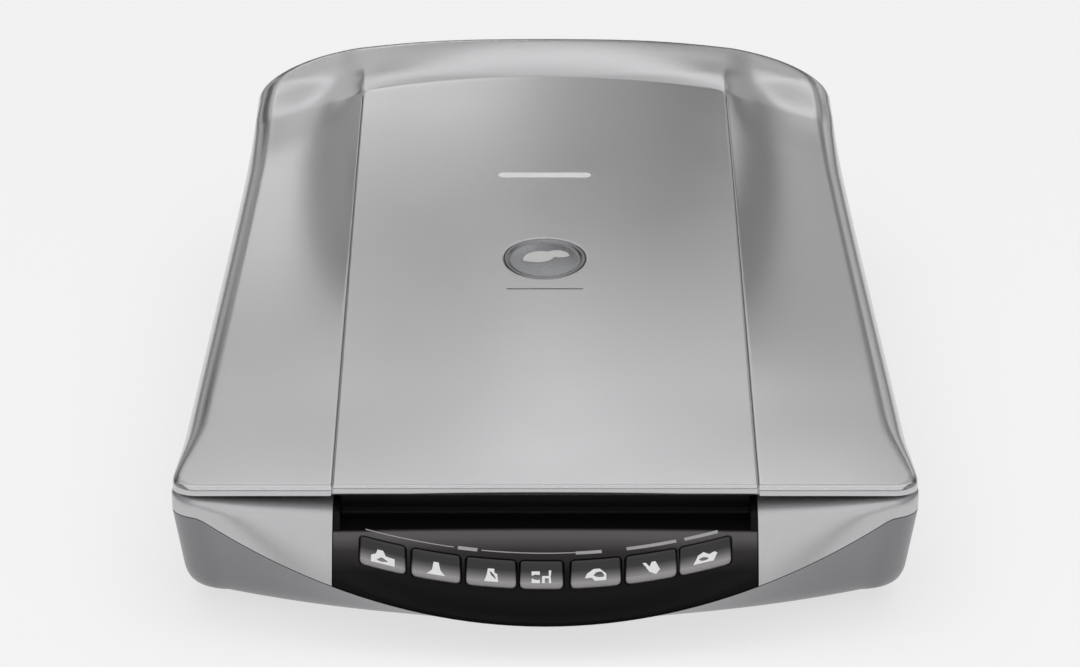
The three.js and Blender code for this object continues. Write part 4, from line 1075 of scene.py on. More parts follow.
def plan_outline(shape, inset=0.0):
    """Counter-clockwise plan points of a base outline. Those over the control panel have the same x in each."""
    fh, bh = shape["front_half"] - inset, shape["back_half"] - inset
    fr, br = max(1.0, shape["front_radius"] - inset), max(1.0, shape["back_radius"] - inset)

    def front(x):
        return shape["front_y"] + inset + (bowed(shape["bow"], x) if shape["bow"] else 0.0)

    fx, fy = fh - fr, front(fh - fr) + fr
    bx, by = bh - br, shape["back_y"] - inset - br

    def arc(cx, cy, radius, start, steps):
        angles = spread(start, start + math.pi / 2, steps)[1:]
        return [(cx + radius * math.cos(a), cy + radius * math.sin(a)) for a in angles]

    front_xs = spread(0, PANEL_HALF, MOUTH_STEPS) + spread(PANEL_HALF, fx, CHEEK_STEPS)[1:]
    right = [(x, front(x)) for x in front_xs]
    right += arc(fx, fy, fr, -math.pi / 2, 8)
    right += [(lerp(fh, bh, t), lerp(fy, by, t)) for t in spread(0, 1, 16)[1:]]
    right += arc(bx, by, br, 0, 10)
    right += [(x, shape["back_y"] - inset) for x in spread(bx, 0, 10)[1:]]
    return right + [(-x, y) for x, y in reversed(right[1:-1])]


def flat_ring(shape, inset, height):
    return [(x, y, height(x, y)) for x, y in plan_outline(shape, inset)]


def resample(points, steps):
    """A line of points, evenly spaced along its length."""
    line = [Vector(p) for p in points]
    lengths = [0.0]
    for p, q in zip(line, line[1:]):
        lengths.append(lengths[-1] + (q - p).length)
    made = []
    for t in spread(0, 1, steps):
        at = t * lengths[-1]
        k = min(max(i for i, total in enumerate(lengths) if total <= at + 1e-9), len(line) - 2)
        piece = max(lengths[k + 1] - lengths[k], 1e-9)
        made.append(between(line[k], line[k + 1], (at - lengths[k]) / piece))
    return made


def case_columns(inset, lower):
    """The upper case from its foot, up its faces and over the deck to the window."""
    foot = flat_ring(CREASE, inset, lambda x, y: crease_height(x, y) + GAP / 2)
    edge = flat_ring(DECK_EDGE, inset, lambda x, y: deck_edge_height(x, y) - lower)
    rim = flat_ring(DECK_EDGE, DECK_LAND, lambda x, y: DECK_Z - lower)
    window = flat_ring(WINDOW, 0, lambda x, y: DECK_Z - lower)
    columns = []
    for a, c, r, w in zip(foot, edge, rim, window):
        share = front_share(a[1])
        x, y, z = ((p + q) / 2 for p, q in zip(a, c))
        face = bezier(a, (x, y - 2 * FACE_SWELL * share, z + 2 * FACE_SWELL * share), c, 16)
        size = lerp(DECK_ROUND_SIDE, DECK_ROUND_FRONT, share)
        kept = [p for p in face if (Vector(p) - Vector(c)).length > size * 1.05]
        start = toward(c, kept[-1], size)
        turn = bezier(start, c, toward(c, r, size), 6)
        columns.append(resample(kept + [start], 12) + turn[1:] + [between(turn[-1], r, 0.5), r, w])
    return columns


def closed_faces(across, along, flip, skip=lambda i, j: False):
    """Quads of a closed row of columns. flip turns them round."""
    faces = []
    for i in range(across):
        n = (i + 1) % across
        for j in range(along - 1):
            if not skip(i, j):
                a, b = (n * along + j, i * along + j) if flip else (i * along + j, n * along + j)
                faces.append((a, b, b + 1, a + 1))
    return faces


def flattened(columns):
    return [p for column in columns for p in column]


POST_GAP = 0.4  # round the hinge posts, where they pass through the deck
POST_SLOT = 8.0  # length of that slot


def add_upper_case():
    outer, inner = case_columns(0.0, 0.0), case_columns(WALL, DECK_SHEET)
    along, across = len(outer[0]), len(outer)

    def in_mouth(i, j):
        return (i < MOUTH_STEPS or i >= across - MOUTH_STEPS) and j < along - 2

    faces = closed_faces(across, along, False, in_mouth)
    shell = thicken(flattened(outer), flattened(inner), faces)
    case = make("case_frame", shell, "base", "silver_paint", ["upper_case"], case_paint)
    slots = []
    for side in ("left", "right"):
        low, high = corners("hinge_post_" + side)
        x0, x1, y0, y1 = low.x - POST_GAP, high.x + POST_GAP, low.y - POST_GAP, low.y + POST_SLOT - POST_GAP
        slots.append(box_mesh(x0, x1, y0, y1, DECK_Z - 8, DECK_Z + 5))
    cut(case, joined(*slots))
    bevel(case, 0.35)


def tray_columns(inset):
    """The bottom tray from its rim down to its floor."""
    rim = flat_ring(CREASE, inset, lambda x, y: crease_height(x, y) - GAP / 2)
    lift = WALL if inset else 0.0
    bottom = flat_ring(BOTTOM_EDGE, inset, lambda x, y: TRAY_Z + 3 + lift)
    floor = flat_ring(FLOOR_EDGE, inset, lambda x, y: TRAY_Z + lift)
    columns = []
    for a, b, c in zip(rim, bottom, floor):
        start = toward(b, a, min(9.0, (Vector(a) - Vector(b)).length * 0.6))
        straight = [between(a, start, t) for t in spread(0, 1, 6)]
        turn = bezier(start, b, toward(b, c, 5.0), 7)
        columns.append(straight + turn[1:] + [toward(c, b, 2.0), c])
    return columns


def add_tray():
    outer, inner = tray_columns(0.0), tray_columns(WALL)
    along, across = len(outer[0]), len(outer)
    faces = closed_faces(across, along, True)
    for i in range(across // 2):  # the floor, in strips from right to left
        strip = [i, (across - i) % across, across - i - 1, i + 1]
        face = tuple(dict.fromkeys(k * along + along - 1 for k in strip))
        if len(face) > 2:
            faces.append(face)
    shell = thicken(flattened(outer), flattened(inner), faces)
    tray = make("case_tray", shell, "base", "case_silver", ["lower_case"])
    low, high = corners("io_plate")
    tools = [box_mesh(low.x - GAP, high.x + GAP, low.y - 4, high.y + 8, low.z - GAP, DECK_Z)]
    lock_low, lock_high = corners("transport_lock")
    middle = (lock_low.x + lock_high.x) / 2
    tools.append(box_mesh(middle - 4.5, middle + 4.5, lock_low.y + 7, lock_low.y + 25, 0, TRAY_Z + 4))
    for k in range(1, 5):
        screw_low, screw_high = corners(f"case_screw_{k}")
        x, y = (screw_low.x + screw_high.x) / 2, (screw_low.y + screw_high.y) / 2
        tools.append(turned_mesh([(0, 0), (1.9, 0), (1.9, 10), (0, 10)], 20, (x, y, 0)))
    cut(tray, joined(*tools))
    bevel(tray, 0.3)


# ---------------------------------------------------------------- control panel and keys

SLOPE_COS, SLOPE_SIN = math.cos(KEY_TILT), math.sin(KEY_TILT)
OUTWARD = Vector((0, -SLOPE_SIN, SLOPE_COS))
KEY_HOLE_GAP = 0.4
BAND_HALF = 6.9  # half height of the strip of face that holds the key holes
PANEL_WALL = 2.0


def face_bend(x):
    """The face's crease point, bending point and deck edge at x, for |x| within the control panel."""
    low = (x, FRONT_Y + bowed(FRONT_BOW, x), chin_height(x) + GAP / 2)
    high = (x, LID_FRONT_Y - 1, min(DECK_Z, dipped_height(x)))
    middle = tuple((p + q) / 2 for p, q in zip(low, high))
    return low, (x, middle[1] - 2 * FACE_SWELL, middle[2] + 2 * FACE_SWELL), high


def face_point(x, t):
    return bezier_point(*face_bend(x), t)


def slope_height(point):
    """How high a point lies on the plane of the key row, from the row's middle."""
    return (point[1] - KEY_Y) * SLOPE_COS + (point[2] - KEY_Z) * SLOPE_SIN


def solve_face(x, measure, goal):
    low, high = 0.0, 1.0
    for _ in range(34):
        t = (low + high) / 2
        if measure(face_point(x, t)) < goal:
            low = t
        else:
            high = t
    return (low + high) / 2


def on_face(x, q, out=0.0):
    """The point of the face at x and at height q on the slope, moved outwards."""
    p = face_point(x, solve_face(x, slope_height, q))
    return tuple(Vector(p) + OUTWARD * out)


def lip_t(x):
    return solve_face(x, lambda p: p[2], RECESS_Z)


def lip_height(x):
    return slope_height(face_point(x, lip_t(x)))


key_spans = [tuple(corner.x for corner in corners(f"button_{k}")) for k in range(1, KEY_COUNT + 1)]


def bar_samples(half, radius, steps):
    """Samples from -half to half with some in each rounded end."""
    ends = [half - radius * share for share in (0, 0.3, 0.62, 1.0)]
    inner = half - radius
    return [-e for e in ends] + spread(-inner, inner, steps)[1:-1] + list(reversed(ends))


def rounded(u, v, half_u, half_v, radius):
    """A point of a rectangle moved so that its corners are round."""
    a, b = (abs(u) - half_u + radius) / radius, (abs(v) - half_v + radius) / radius
    if a > 0 and b > 0:
        a, b = round_corner(a, b, 6.0)
        u = math.copysign(half_u + (a - 1) * radius, u)
        v = math.copysign(half_v + (b - 1) * radius, v)
    return u, v


HOLE_RADIUS = 1.9
HOLE_LIP = [(0.0, 0.5), (0.05, 0.24), (0.18, 0.06), (0.42, 0.0)]  # (outwards, down) round each key hole
# (x past the recess's side, share of the way from the recess to the plain face), at that side.
RECESS_SIDE = [(-0.45, 0.0), (-0.14, 0.03), (-0.03, 0.12), (0.03, 0.88), (0.14, 0.97), (0.45, 1.0)]
SIDE_EDGE = [(0.6, 0.0), (0.15, 0.08), (0.0, 0.35)]  # (inwards, down) at the panel's two side edges
FACE_STEPS = 9
EDGE_STEPS = 6


def add_control_panel():
    half_height = KEY_HALF_HEIGHT + KEY_HOLE_GAP
    v_samples = bar_samples(half_height, HOLE_RADIUS, 5)
    cells = []
    for k, (x0, x1) in enumerate(key_spans):
        left = (key_spans[k - 1][1] + x0) / 2 if k else x0 - 1.3
        right = (x1 + key_spans[k + 1][0]) / 2 if k + 1 < len(key_spans) else x1 + 1.3
        half = (x1 - x0) / 2 + KEY_HOLE_GAP
        u_samples = bar_samples(half, HOLE_RADIUS, 7)
        xs = [lerp(left, right, (u + half) / (2 * half)) for u in u_samples]
        cells.append({"xs": xs, "us": u_samples, "half": half, "middle": (x0 + x1) / 2})
    edge_x = PANEL_HALF - GAP
    blends = {round(RECESS_HALF + past, 4): share for past, share in RECESS_SIDE}
    wall = [RECESS_HALF + past for past, _ in RECESS_SIDE]

    def to_edge(start):
        return spread(start, wall[0], 3)[1:-1] + wall + [edge_x - inside for inside, _ in SIDE_EDGE]

    left_part = [-x for x in reversed(to_edge(-cells[0]["xs"][0]))]
    xs = left_part + cells[0]["xs"]
    for cell in cells[1:]:
        xs += cell["xs"][1:]
    xs += to_edge(xs[-1])
    drops = [down for _, down in reversed(SIDE_EDGE)]
    drops += [0.0] * (len(xs) - 2 * len(drops)) + drops[::-1]

    def band(x):
        """Lower and upper edge, on the slope, of the strip with the key holes."""
        middle = KEY_CURL * x * x
        top = min(middle + BAND_HALF, lip_height(x) - 1.0)
        return max(middle - BAND_HALF, slope_height(face_point(x, 0)) + 1.3), top

    def turn(x, steps, *corner):
        return bezier(*[(x, y, z) for y, z in corner], steps)[1:]

    def column(x):
        """Points at x, from the chin's underside to the deck, and the row where the strip with the holes starts."""
        start = face_point(x, 0.0)
        up = toward(start, face_point(x, 0.1), 1.2)
        foot = bezier((x, start[1] + 1.2, start[2] + 0.05), start, up, 4)
        q0, q1 = band(x)
        lower = [on_face(x, q) for q in spread(slope_height(up), q0, 4)[1:]]
        strip = [on_face(x, lerp(q0, q1, (v + half_height) / (2 * half_height))) for v in v_samples][1:]
        lip = face_point(x, lip_t(x))
        upper = [on_face(x, q) for q in spread(q1, max(q1 + 0.2, slope_height(lip) - RECESS_SOFT), 3)[1:]]

        # Through the finger recess.
        back, floor_y, land_y = RECESS_BACK_Y, lip[1] + RECESS_SOFT, LID_FRONT_Y - 1 + DECK_LAND - GAP
        floor_back, edge_z = back - RECESS_ROUND, DECK_Z - RECESS_EDGE
        recess = bezier(upper[-1], lip, (x, floor_y, RECESS_Z), 6)[1:]
        recess += [(x, y, RECESS_Z) for y in spread(floor_y, floor_back, 5)[1:]]
        recess += turn(x, 6, (floor_back, RECESS_Z), (back, RECESS_Z), (back, RECESS_Z + RECESS_ROUND))
        recess += [(x, back, z) for z in spread(RECESS_Z + RECESS_ROUND, edge_z, 4)[1:]]
        recess += turn(x, 3, (back, edge_z), (back, DECK_Z), (back + RECESS_EDGE, DECK_Z))
        recess += [(x, land_y, DECK_Z)]

        # Straight up the face and over to the deck, beside the recess.
        rim = face_point(x, 1.0)
        near = solve_face(x, lambda p: p[1], rim[1] - 2.0)
        q_face = spread(slope_height(upper[-1]), slope_height(face_point(x, near)), FACE_STEPS)
        full = [on_face(x, q) for q in q_face[1:]]
        over = (x, rim[1] + 3.0, rim[2] + 3.0 * (DECK_Z - rim[2]) / DECK_LAND)
        full += bezier(full[-1], rim, over, EDGE_STEPS)[1:]
        rest = spread(0, 1, len(recess) - len(full))[1:]
        full += [between(full[-1], (x, land_y, DECK_Z), t) for t in rest]

        share = 0.0 if abs(x) < wall[0] else blends.get(round(abs(x), 4), 1.0)
        top = [between(a, b, share) for a, b in zip(recess, full)]
        return foot + lower + strip + upper + top, len(foot) + len(lower) - 1

    outer, inner = [], []
    for x, drop in zip(xs, drops):
        points, band_row = column(x)
        for j, p in enumerate(points):
            run = Vector(points[min(len(points) - 1, j + 1)]) - Vector(points[max(0, j - 1)])
            inward = Vector((0, run.z, -run.y)).normalized()
            outer.append(tuple(Vector(p) + inward * drop))
            inner.append(tuple(Vector(p) + inward * PANEL_WALL))
    along = len(outer) // len(xs)
    rows = len(v_samples) - 1
    at = len(left_part)
    for cell in cells:
        cell["first"] = at
        at += len(cell["xs"]) - 1

    def in_cell(i, j):
        return len(left_part) <= i < at and band_row <= j < band_row + rows

    faces = grid_faces(len(xs), along, in_cell)
    for cell in cells:
        walk = walk_round(0, len(cell["xs"]) - 1, 0, rows)
        loop = [(cell["first"] + i) * along + band_row + j for i, j in walk]
        rings, rings_inner = [], []
        for outside, down in HOLE_LIP:
            grown_u, grown_v = cell["half"] + outside, half_height + outside
            ring, ring_inner = [], []
            for i, j in walk:
                u = cell["us"][i] * grown_u / cell["half"]
                v = v_samples[j] * grown_v / half_height
                u, v = rounded(u, v, grown_u, grown_v, HOLE_RADIUS + outside)
                x = cell["middle"] + u
                q = KEY_CURL * x * x + v
                ring.append(on_face(x, q, -down))
                ring_inner.append(on_face(x, q, -PANEL_WALL))
            rings.append(ring)
            rings_inner.append(ring_inner)
        ring_morph(outer, faces, loop, rings)
        ring_morph(inner, [], loop, rings_inner)
    make("control_face", thicken(outer, inner, faces), "base", "gloss_black", ["control_panel"])


KEY_RADIUS = 1.6
KEY_EDGE = [(0.0, 0.75), (0.03, 0.5), (0.14, 0.24), (0.34, 0.08), (0.62, 0.0)]  # (inwards, down) round a key's top
KEY_DEPTH = 5.0
KEY_CROWN = 0.16


def key_height(x, q, half, middle):
    """How far a key's top stands out of the face: proud, with a slight crown."""
    u, v = (x - middle) / half, (q - KEY_CURL * x * x) / KEY_HALF_HEIGHT
    return KEY_PROUD - 0.02 - KEY_CROWN + KEY_CROWN * max(0.0, 1 - u * u) * max(0.0, 1 - v * v)


def key_samples(half, steps):
    """(place, drop) across a key's top, from one edge to the other."""
    edge = [(half - inside, down) for inside, down in KEY_EDGE]
    reach = edge[-1][0]
    flat = [(u, 0.0) for u in spread(-reach, reach, steps)[1:-1]]
    return [(-u, down) for u, down in edge] + flat + edge[::-1]


def add_key(number, x0, x1):
    half, middle = (x1 - x0) / 2, (x0 + x1) / 2
    us, vs = key_samples(half, 12), key_samples(KEY_HALF_HEIGHT, 8)
    verts, places = [], []
    for u, drop_u in us:
        for v, drop_v in vs:
            pu, pv = rounded(u, v, half, KEY_HALF_HEIGHT, KEY_RADIUS)
            x = middle + pu
            q = KEY_CURL * x * x + pv
            verts.append(on_face(x, q, key_height(x, q, half, middle) - max(drop_u, drop_v)))
            places.append((u / half * 0.5 + 0.5, v / KEY_HALF_HEIGHT * 0.5 + 0.5))
    across, along = len(us), len(vs)
    faces = grid_faces(across, along)
    rim = grid_rim(across, along)
    skirt(verts, faces, rim, [[tuple(Vector(verts[k]) - OUTWARD * KEY_DEPTH) for k in rim]])
    places += [places[k] for k in rim]
    faces.append(tuple(range(len(verts) - 1, len(verts) - len(rim) - 1, -1)))
    key = make(f"key_cap_{number}", (verts, faces), f"key_{number}", "button_smoke", [f"button_{number}"])
    layer = key.data.uv_layers.new(name="height")
    for loop in key.data.loops:
        layer.data[loop.index].uv = places[loop.vertex_index]


# Icons on the keys, as plain outlines in millimetres from the key's middle.
ICONS = [
    [[(-4.2, -3.2), (4.4, -3.2), (4.4, -0.4), (1.2, -0.1), (0.2, 1.8), (-1.8, 1.8), (-2.4, 0.2), (-4.2, -0.8)]],
    [[(-3.4, -3.2), (3.4, -3.2), (1.7, -1.4), (1.0, 1.6), (-0.9, 1.6), (-1.4, -1.4)]],
    [[(-2.6, -3.2), (2.6, -3.2), (2.2, -0.2), (1.2, 0.2), (1.2, 1.7), (-1.2, 1.7), (-1.6, -0.6)]],
    [[(-3.6, -3.0), (-0.6, -3.0), (-0.6, 1.4), (-3.6, 1.4)],
     [(0.2, -3.0), (1.2, -3.0), (1.2, -1.2), (2.6, -1.2), (2.6, -3.0), (3.5, -3.0), (3.5, 1.8), (2.6, 1.8),
      (2.6, -0.3), (0.2, -0.3)]],
    [[(-4.0, -1.6), (-1.4, -1.6), (-0.4, -2.8), (3.8, -2.8), (3.8, -0.4), (1.4, 1.7), (-0.8, 1.7), (-3.2, 0.0)]],
    [[(-3.2, 1.9), (-2.0, 1.9), (-0.6, 0.2), (0.2, 1.9), (1.6, 1.9), (3.2, -1.4), (1.8, -3.0), (-0.6, -1.8)]],
    [[(-4.4, -2.4), (3.0, -2.4), (4.4, 0.2), (3.4, 1.0), (1.4, 0.4), (-0.6, 1.7), (-2.6, 0.8)]],
]  # fmt: skip


def add_icon(number, x0, x1):
    half, middle = (x1 - x0) / 2, (x0 + x1) / 2

    def place(u, v, lift):
        x = middle + u
        q = KEY_CURL * x * x + v - 0.4
        return on_face(x, q, key_height(x, q, half, middle) - 0.15 + 0.19 * (lift > 0))

    icon = joined(*[prism_mesh(outline, place, 1) for outline in ICONS[number - 1]])
    bevel(make(f"key_icon_{number}", icon, f"key_{number}", "button_smoke", material=mark_light), 0.05, 1)


def ribbon_on_face(points, width):
    """A thin raised line on the control panel: points are (x, height on the slope)."""
    lower, upper = [], []
    for (xa, qa), (xb, qb) in zip(points, points[1:]):
        slope = math.atan2(qb - qa, xb - xa)
        nx, nq = -math.sin(slope) * width / 2, math.cos(slope) * width / 2
        ends = [(xb, qb)] if lower else [(xa, qa), (xb, qb)]
        lower += [(x - nx, q - nq) for x, q in ends]
        upper += [(x + nx, q + nq) for x, q in ends]

    def place(x, q, lift):
        return on_face(x, q, -PRINT_SUNK + 0.14 * (lift > 0))

    return prism_mesh(lower + upper[::-1], place, 1)


def add_face_marks():
    """A thin bracket line over the first four keys and short bars over the others, in place of printed labels."""

    def row(x0, x1, lift, steps=10):
        return [(x, KEY_CURL * x * x + KEY_HALF_HEIGHT + lift) for x in spread(x0, x1, steps)]

    lift = 3.1
    gap = (-31.5, -24.5)
    lines = [ribbon_on_face(row(key_spans[0][0] + 2, gap[0] - 1.5, lift), 0.35)]
    lines += [ribbon_on_face(row(gap[1] + 1.5, key_spans[3][1] + 6, lift), 0.35)]
    make("bracket_line", joined(*lines), "base", "gloss_black", material=mark_grey)
    bars = [ribbon_on_face(row(gap[0], gap[1], lift, 4), 1.3)]
    for k, (start, end) in zip((4, 5, 6), ((0.1, 0.62), (0.02, 1.0), (0.1, 0.75))):
        x0, x1 = key_spans[k]
        bars.append(ribbon_on_face(row(lerp(x0, x1, start), lerp(x0, x1, end), lift - 0.2, 6), 1.2))
    make("label_bars", joined(*bars), "base", "gloss_black", material=mark_grey)


# ---------------------------------------------------------------- lid pad, feet, screws and what lies inside


def place_on(node):
    """A CAD node's box in millimetres and its middle."""
    low, high = corners(node)
    return low, high, (low + high) / 2


def bar_outline(half_x, half_y, radius, steps=8):
    """A rectangle with round corners, counter-clockwise."""
    outline = []
    for turn, (sx, sy) in enumerate(((1, -1), (1, 1), (-1, 1), (-1, -1))):
        for a in spread(-math.pi / 2, 0, steps):
            angle = a + turn * math.pi / 2
            outline.append((sx * (half_x - radius) + radius * math.cos(angle),
                            sy * (half_y - radius) + radius * math.sin(angle)))  # fmt: skip
    return outline


PAD_ROUND_X, PAD_ROUND_Y = 0.05, 0.035  # the foam's corner radius, as shares of its half sizes


def add_pad():
    """The white sheet that presses the paper, and the foam behind it."""
    low, high, middle = place_on("white_mat")
    outline = bar_outline((high.x - low.x) / 2, (high.y - low.y) / 2, 3.0)
    origin = (middle.x, middle.y, low.z)
    sheet = prism_mesh(outline, lambda *p: tuple(c + d for c, d in zip(origin, p)), high.z - low.z)
    bevel(make("mat_sheet", sheet, "lid", "white_sheet", ["white_mat"]), 0.3, 3)

    low, high, middle = place_on("foam_pad")
    half_x, half_y = (high.x - low.x) / 2, (high.y - low.y) / 2
    straight_x, straight_y = 1 - PAD_ROUND_X, 1 - PAD_ROUND_Y
    us, vs = spread(-1, 1, 24), spread(-1, 1, 32)
    top, bottom = [], []
    for u in us:
        for v in vs:
            a, b = round_corner((abs(u) - straight_x) / PAD_ROUND_X, (abs(v) - straight_y) / PAD_ROUND_Y)
            x = math.copysign((a * PAD_ROUND_X + straight_x) * half_x, u)
            y = math.copysign((b * PAD_ROUND_Y + straight_y) * half_y, v)
            edge = min(1.0, min(half_x - abs(x), half_y - abs(y)) / 6)
            sag = 0.9 * (1 - edge) ** 2 + 0.10 * math.sin(x * 0.19) * math.sin(y * 0.13)
            top.append((middle.x + x, y, high.z - 0.12 - sag))
            bottom.append((middle.x + x, y, low.z + 0.12 + sag))
    pad = thicken(top, bottom, grid_faces(len(us), len(vs)))
    foam = make("foam_block", pad, "lid", "foam", ["foam_pad"], sharp=70)


FOOT_SECTION = [(0, 0.9), (3.0, 0.9), (3.3, 0.35), (3.9, 0.0), (7.4, 0.0), (8.3, 0.3), (8.8, 0.9), (9.0, 1.8),
                (9.0, 2.5), (8.6, 2.75), (8.6, 3.1), (9.0, 3.35), (9.0, 4.7), (0, 4.7)]  # fmt: skip
SCREW_SECTION = [(0, 0.0), (1.6, 0.02), (2.5, 0.25), (3.0, 0.65), (3.2, 1.1), (3.2, 1.7), (1.2, 1.7), (1.2, 13.6),
                 (0.5, 14.7), (0, 14.7)]  # fmt: skip


def add_feet_and_screws():
    for k in range(1, 5):
        low, _, middle = place_on(f"foot_{k}")
        foot = turned_mesh(FOOT_SECTION, 48, (middle.x, middle.y, low.z))
        make(f"rubber_foot_{k}", foot, "base", "rubber", [f"foot_{k}"])
        low, _, middle = place_on(f"case_screw_{k}")
        screw = turned_mesh(SCREW_SECTION, 40, (middle.x, middle.y, low.z))
        screw = make(f"pan_screw_{k}", screw, "base", "steel", [f"case_screw_{k}"])
        slots = [box_mesh(middle.x - a, middle.x + a, middle.y - b, middle.y + b, low.z - 1, low.z + 0.9)
                 for a, b in ((1.9, 0.33), (0.33, 1.9))]  # fmt: skip
        cut(screw, *slots)


def add_group(name, boxes, material, body, slot, width=0.25):
    """Small blocks, given by their limits, as one piece with rounded edges."""
    blocks = joined(*[box_mesh(*limits) for limits in boxes])
    bevel(make(name, blocks, body, slot, material=material), width)


def add_board_parts():
    low, high = corners("main_board")
    top, y = high.z - 0.05, low.y
    chips = [(-27, -15, y + 3, y + 13, top, top + 1.6), (-10, -3, y + 2, y + 6, top, top + 1.2),
             (-10, -3, y + 9, y + 13, top, top + 1.2), (17, 31, y + 3, y + 5.4, top, top + 2.4),
             (48, 52, y + 9, y + 14, top, top + 1.3)]  # fmt: skip
    add_group("main_board_chips", chips, epoxy, "base", "board_green")
    can = [(0, 0), (2.2, 0), (2.6, 0.5), (2.6, 5.2), (2.4, 5.6), (2.1, 5.6), (2.0, 5.4), (0, 5.4)]
    cans = [turned_mesh(can, 28, (x, y + 8, top)) for x in (56.5, 62.5)]
    make("main_board_cans", joined(*cans), "base", "board_green", material=looks["steel"])

    front = corners("sensor_board")[0].y
    sensor = [(-27, 27, front - 1.3, front + 0.05, 24.6, 29.4)]
    add_group("line_sensor", sensor, epoxy, "scan_head", "board_green")
    window = [(-23, 23, front - 1.42, front - 1.2, 26.3, 27.7)]
    add_group("line_sensor_window", window, gold, "scan_head", "board_green", 0.05)

    top = corners("inverter_board")[1].z - 0.05
    coil = [(68, 80, -142, -131, top, top + 5.5), (84, 89, -141, -136, top, top + 1.4),
            (92, 96, -142, -132, top, top + 3)]  # fmt: skip
    add_group("inverter_parts", coil, epoxy, "scan_head", "board_green", 0.4)

    def seat(x, u, v, out):
        return on_face(x + u, KEY_CURL * (x + u) ** 2 + v, out)

    switches = []
    for x0, x1 in key_spans:
        x = (x0 + x1) / 2
        outline = bar_outline(3.0, 3.0, 0.6, 3)
        switches.append(prism_mesh(outline, lambda u, v, h, x=x: seat(x, u, v, -8.9 + h), 2.4))
    make("button_switches", joined(*switches), "base", "board_green", material=epoxy)

    _, high, middle = place_on("usb_socket")
    pins = [(middle.x + u - 0.5, middle.x + u + 0.5, high.y - 12, high.y - 3, middle.z + 0.45, middle.z + 0.7)
            for u in (-1.5, 1.5)]  # fmt: skip
    add_group("usb_contacts", pins, gold, "base", "steel", 0.06)


def add_drive_parts():
    low, high, middle = place_on("stepper_motor")
    band = [(12.8, 0), (13.2, 0.3), (13.2, 1.5), (12.8, 1.8)]
    rings = [turned_mesh(band, 64, (middle.x, middle.y, low.z + z)) for z in (5.0, 11.0)]
    make("motor_bands", joined(*rings), "base", "steel")
    plug = [(middle.x - 4.5, middle.x + 4.5, high.y - 0.8, high.y + 3.2, low.z + 5, low.z + 10)]
    add_group("motor_plug", plug, looks["white_plastic"], "base", "white_plastic", 0.4)

    low, high, middle = place_on("lamp_tube")
    cap = [(0, 0), (2.5, 0), (2.85, 0.4), (2.85, 6.0), (2.62, 6.4), (2.62, 6.0), (0, 6.0)]
    left = turned_mesh(cap, 32, (low.x - 1.2, middle.y, middle.z), lying=True)
    right_cap = [(r, -h) for r, h in reversed(cap)]
    right = turned_mesh(right_cap, 32, (high.x + 1.2, middle.y, middle.z), lying=True)
    make("lamp_caps", joined(left, right), "scan_head", "lamp_glass", material=looks["rubber"])


def add_underside():
    """A blank plate under the tray, where a rating label would be."""
    outline = bar_outline(34, 19, 2.5, 5)
    verts, faces = prism_mesh(outline, lambda u, v, h: (u, 40 + v, TRAY_Z + 0.05 - h), 0.35)
    plate = verts, [face[::-1] for face in faces]
    bevel(make("blank_label", plate, "base", "case_silver", material=mark_grey), 0.1)


# The CAD nodes that are shown as they are, by the rounding of their edges in millimetres.
SOFTENED = {
    0.08: "ribbon_cable",
    0.12: "motor_pulley idler_pulley",
    0.15: "calibration_strip lamp_reflector",
    0.2: "button_board idler_bracket bumper_left bumper_right mirror_1 mirror_2 lens_barrel",
    0.25: "main_board io_plate motor_bracket sensor_board inverter_board",
    0.3: "usb_socket power_socket guide_rod stepper_motor hinge_leaf_left hinge_leaf_right transport_lock",
    0.4: "platen_glass hinge_socket_left hinge_socket_right hinge_post_left hinge_post_right carriage_body",
    0.5: "rod_clip_front rod_clip_back side_rail lid_liner",
}


def finish_nodes():
    """Every CAD node gets its slot's finish, and those still shown get soft edges."""
    slots = {part["node"]: part["material_slot"] for part in frame["record"]["subparts"]}
    for node, obj in nodes.items():
        obj.data.materials.clear()
        obj.data.materials.append(belt_rubber if node == "timing_belt" else looks[slots[node]])
    for width, softened in SOFTENED.items():
        for node in softened.split():
            bevel(nodes[node], width, angle=35.0)


# ---------------------------------------------------------------- stage


FLOOR_COLOR = (0.35, 0.35, 0.35)
FLOOR_GLOW = 0.655
FLOOR_HALF = 12.0
WHITE = (1, 1, 1, 1)


def add_stage():
    """The floor. It glows a little, so that the background comes out as pale as in the photo."""
    glow = {"Emission_Color": WHITE, "Emission_Strength": FLOOR_GLOW}
    material, _ = principled("floor", FLOOR_COLOR, 0.9, Specular_IOR_Level=0.1, **glow)
    mesh = bpy.data.meshes.new("floor")
    floor_corners = [(x * FLOOR_HALF, y * FLOOR_HALF, 0) for x, y in ((-1, -1), (1, -1), (1, 1), (-1, 1))]
    mesh.from_pydata(floor_corners, [], [(0, 1, 2, 3)])
    mesh.materials.append(material)
    floor = link(bpy.data.objects.new("floor", mesh))
    floor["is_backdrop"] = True


def softbox(name, place, aim, width, height, strength):
    """A rectangular soft light at a point, in metres, turned towards another. strength is its radiance."""
    light = bpy.data.lights.new(name, "AREA")
    light.shape = "RECTANGLE"
    light.size, light.size_y = width, height
    light.energy = strength * width * height * math.pi
    obj = link(bpy.data.objects.new(name, light))
    obj.location = place
    obj.rotation_mode = "QUATERNION"
    obj.rotation_quaternion = (Vector(aim) - Vector(place)).to_track_quat("-Z", "Y")


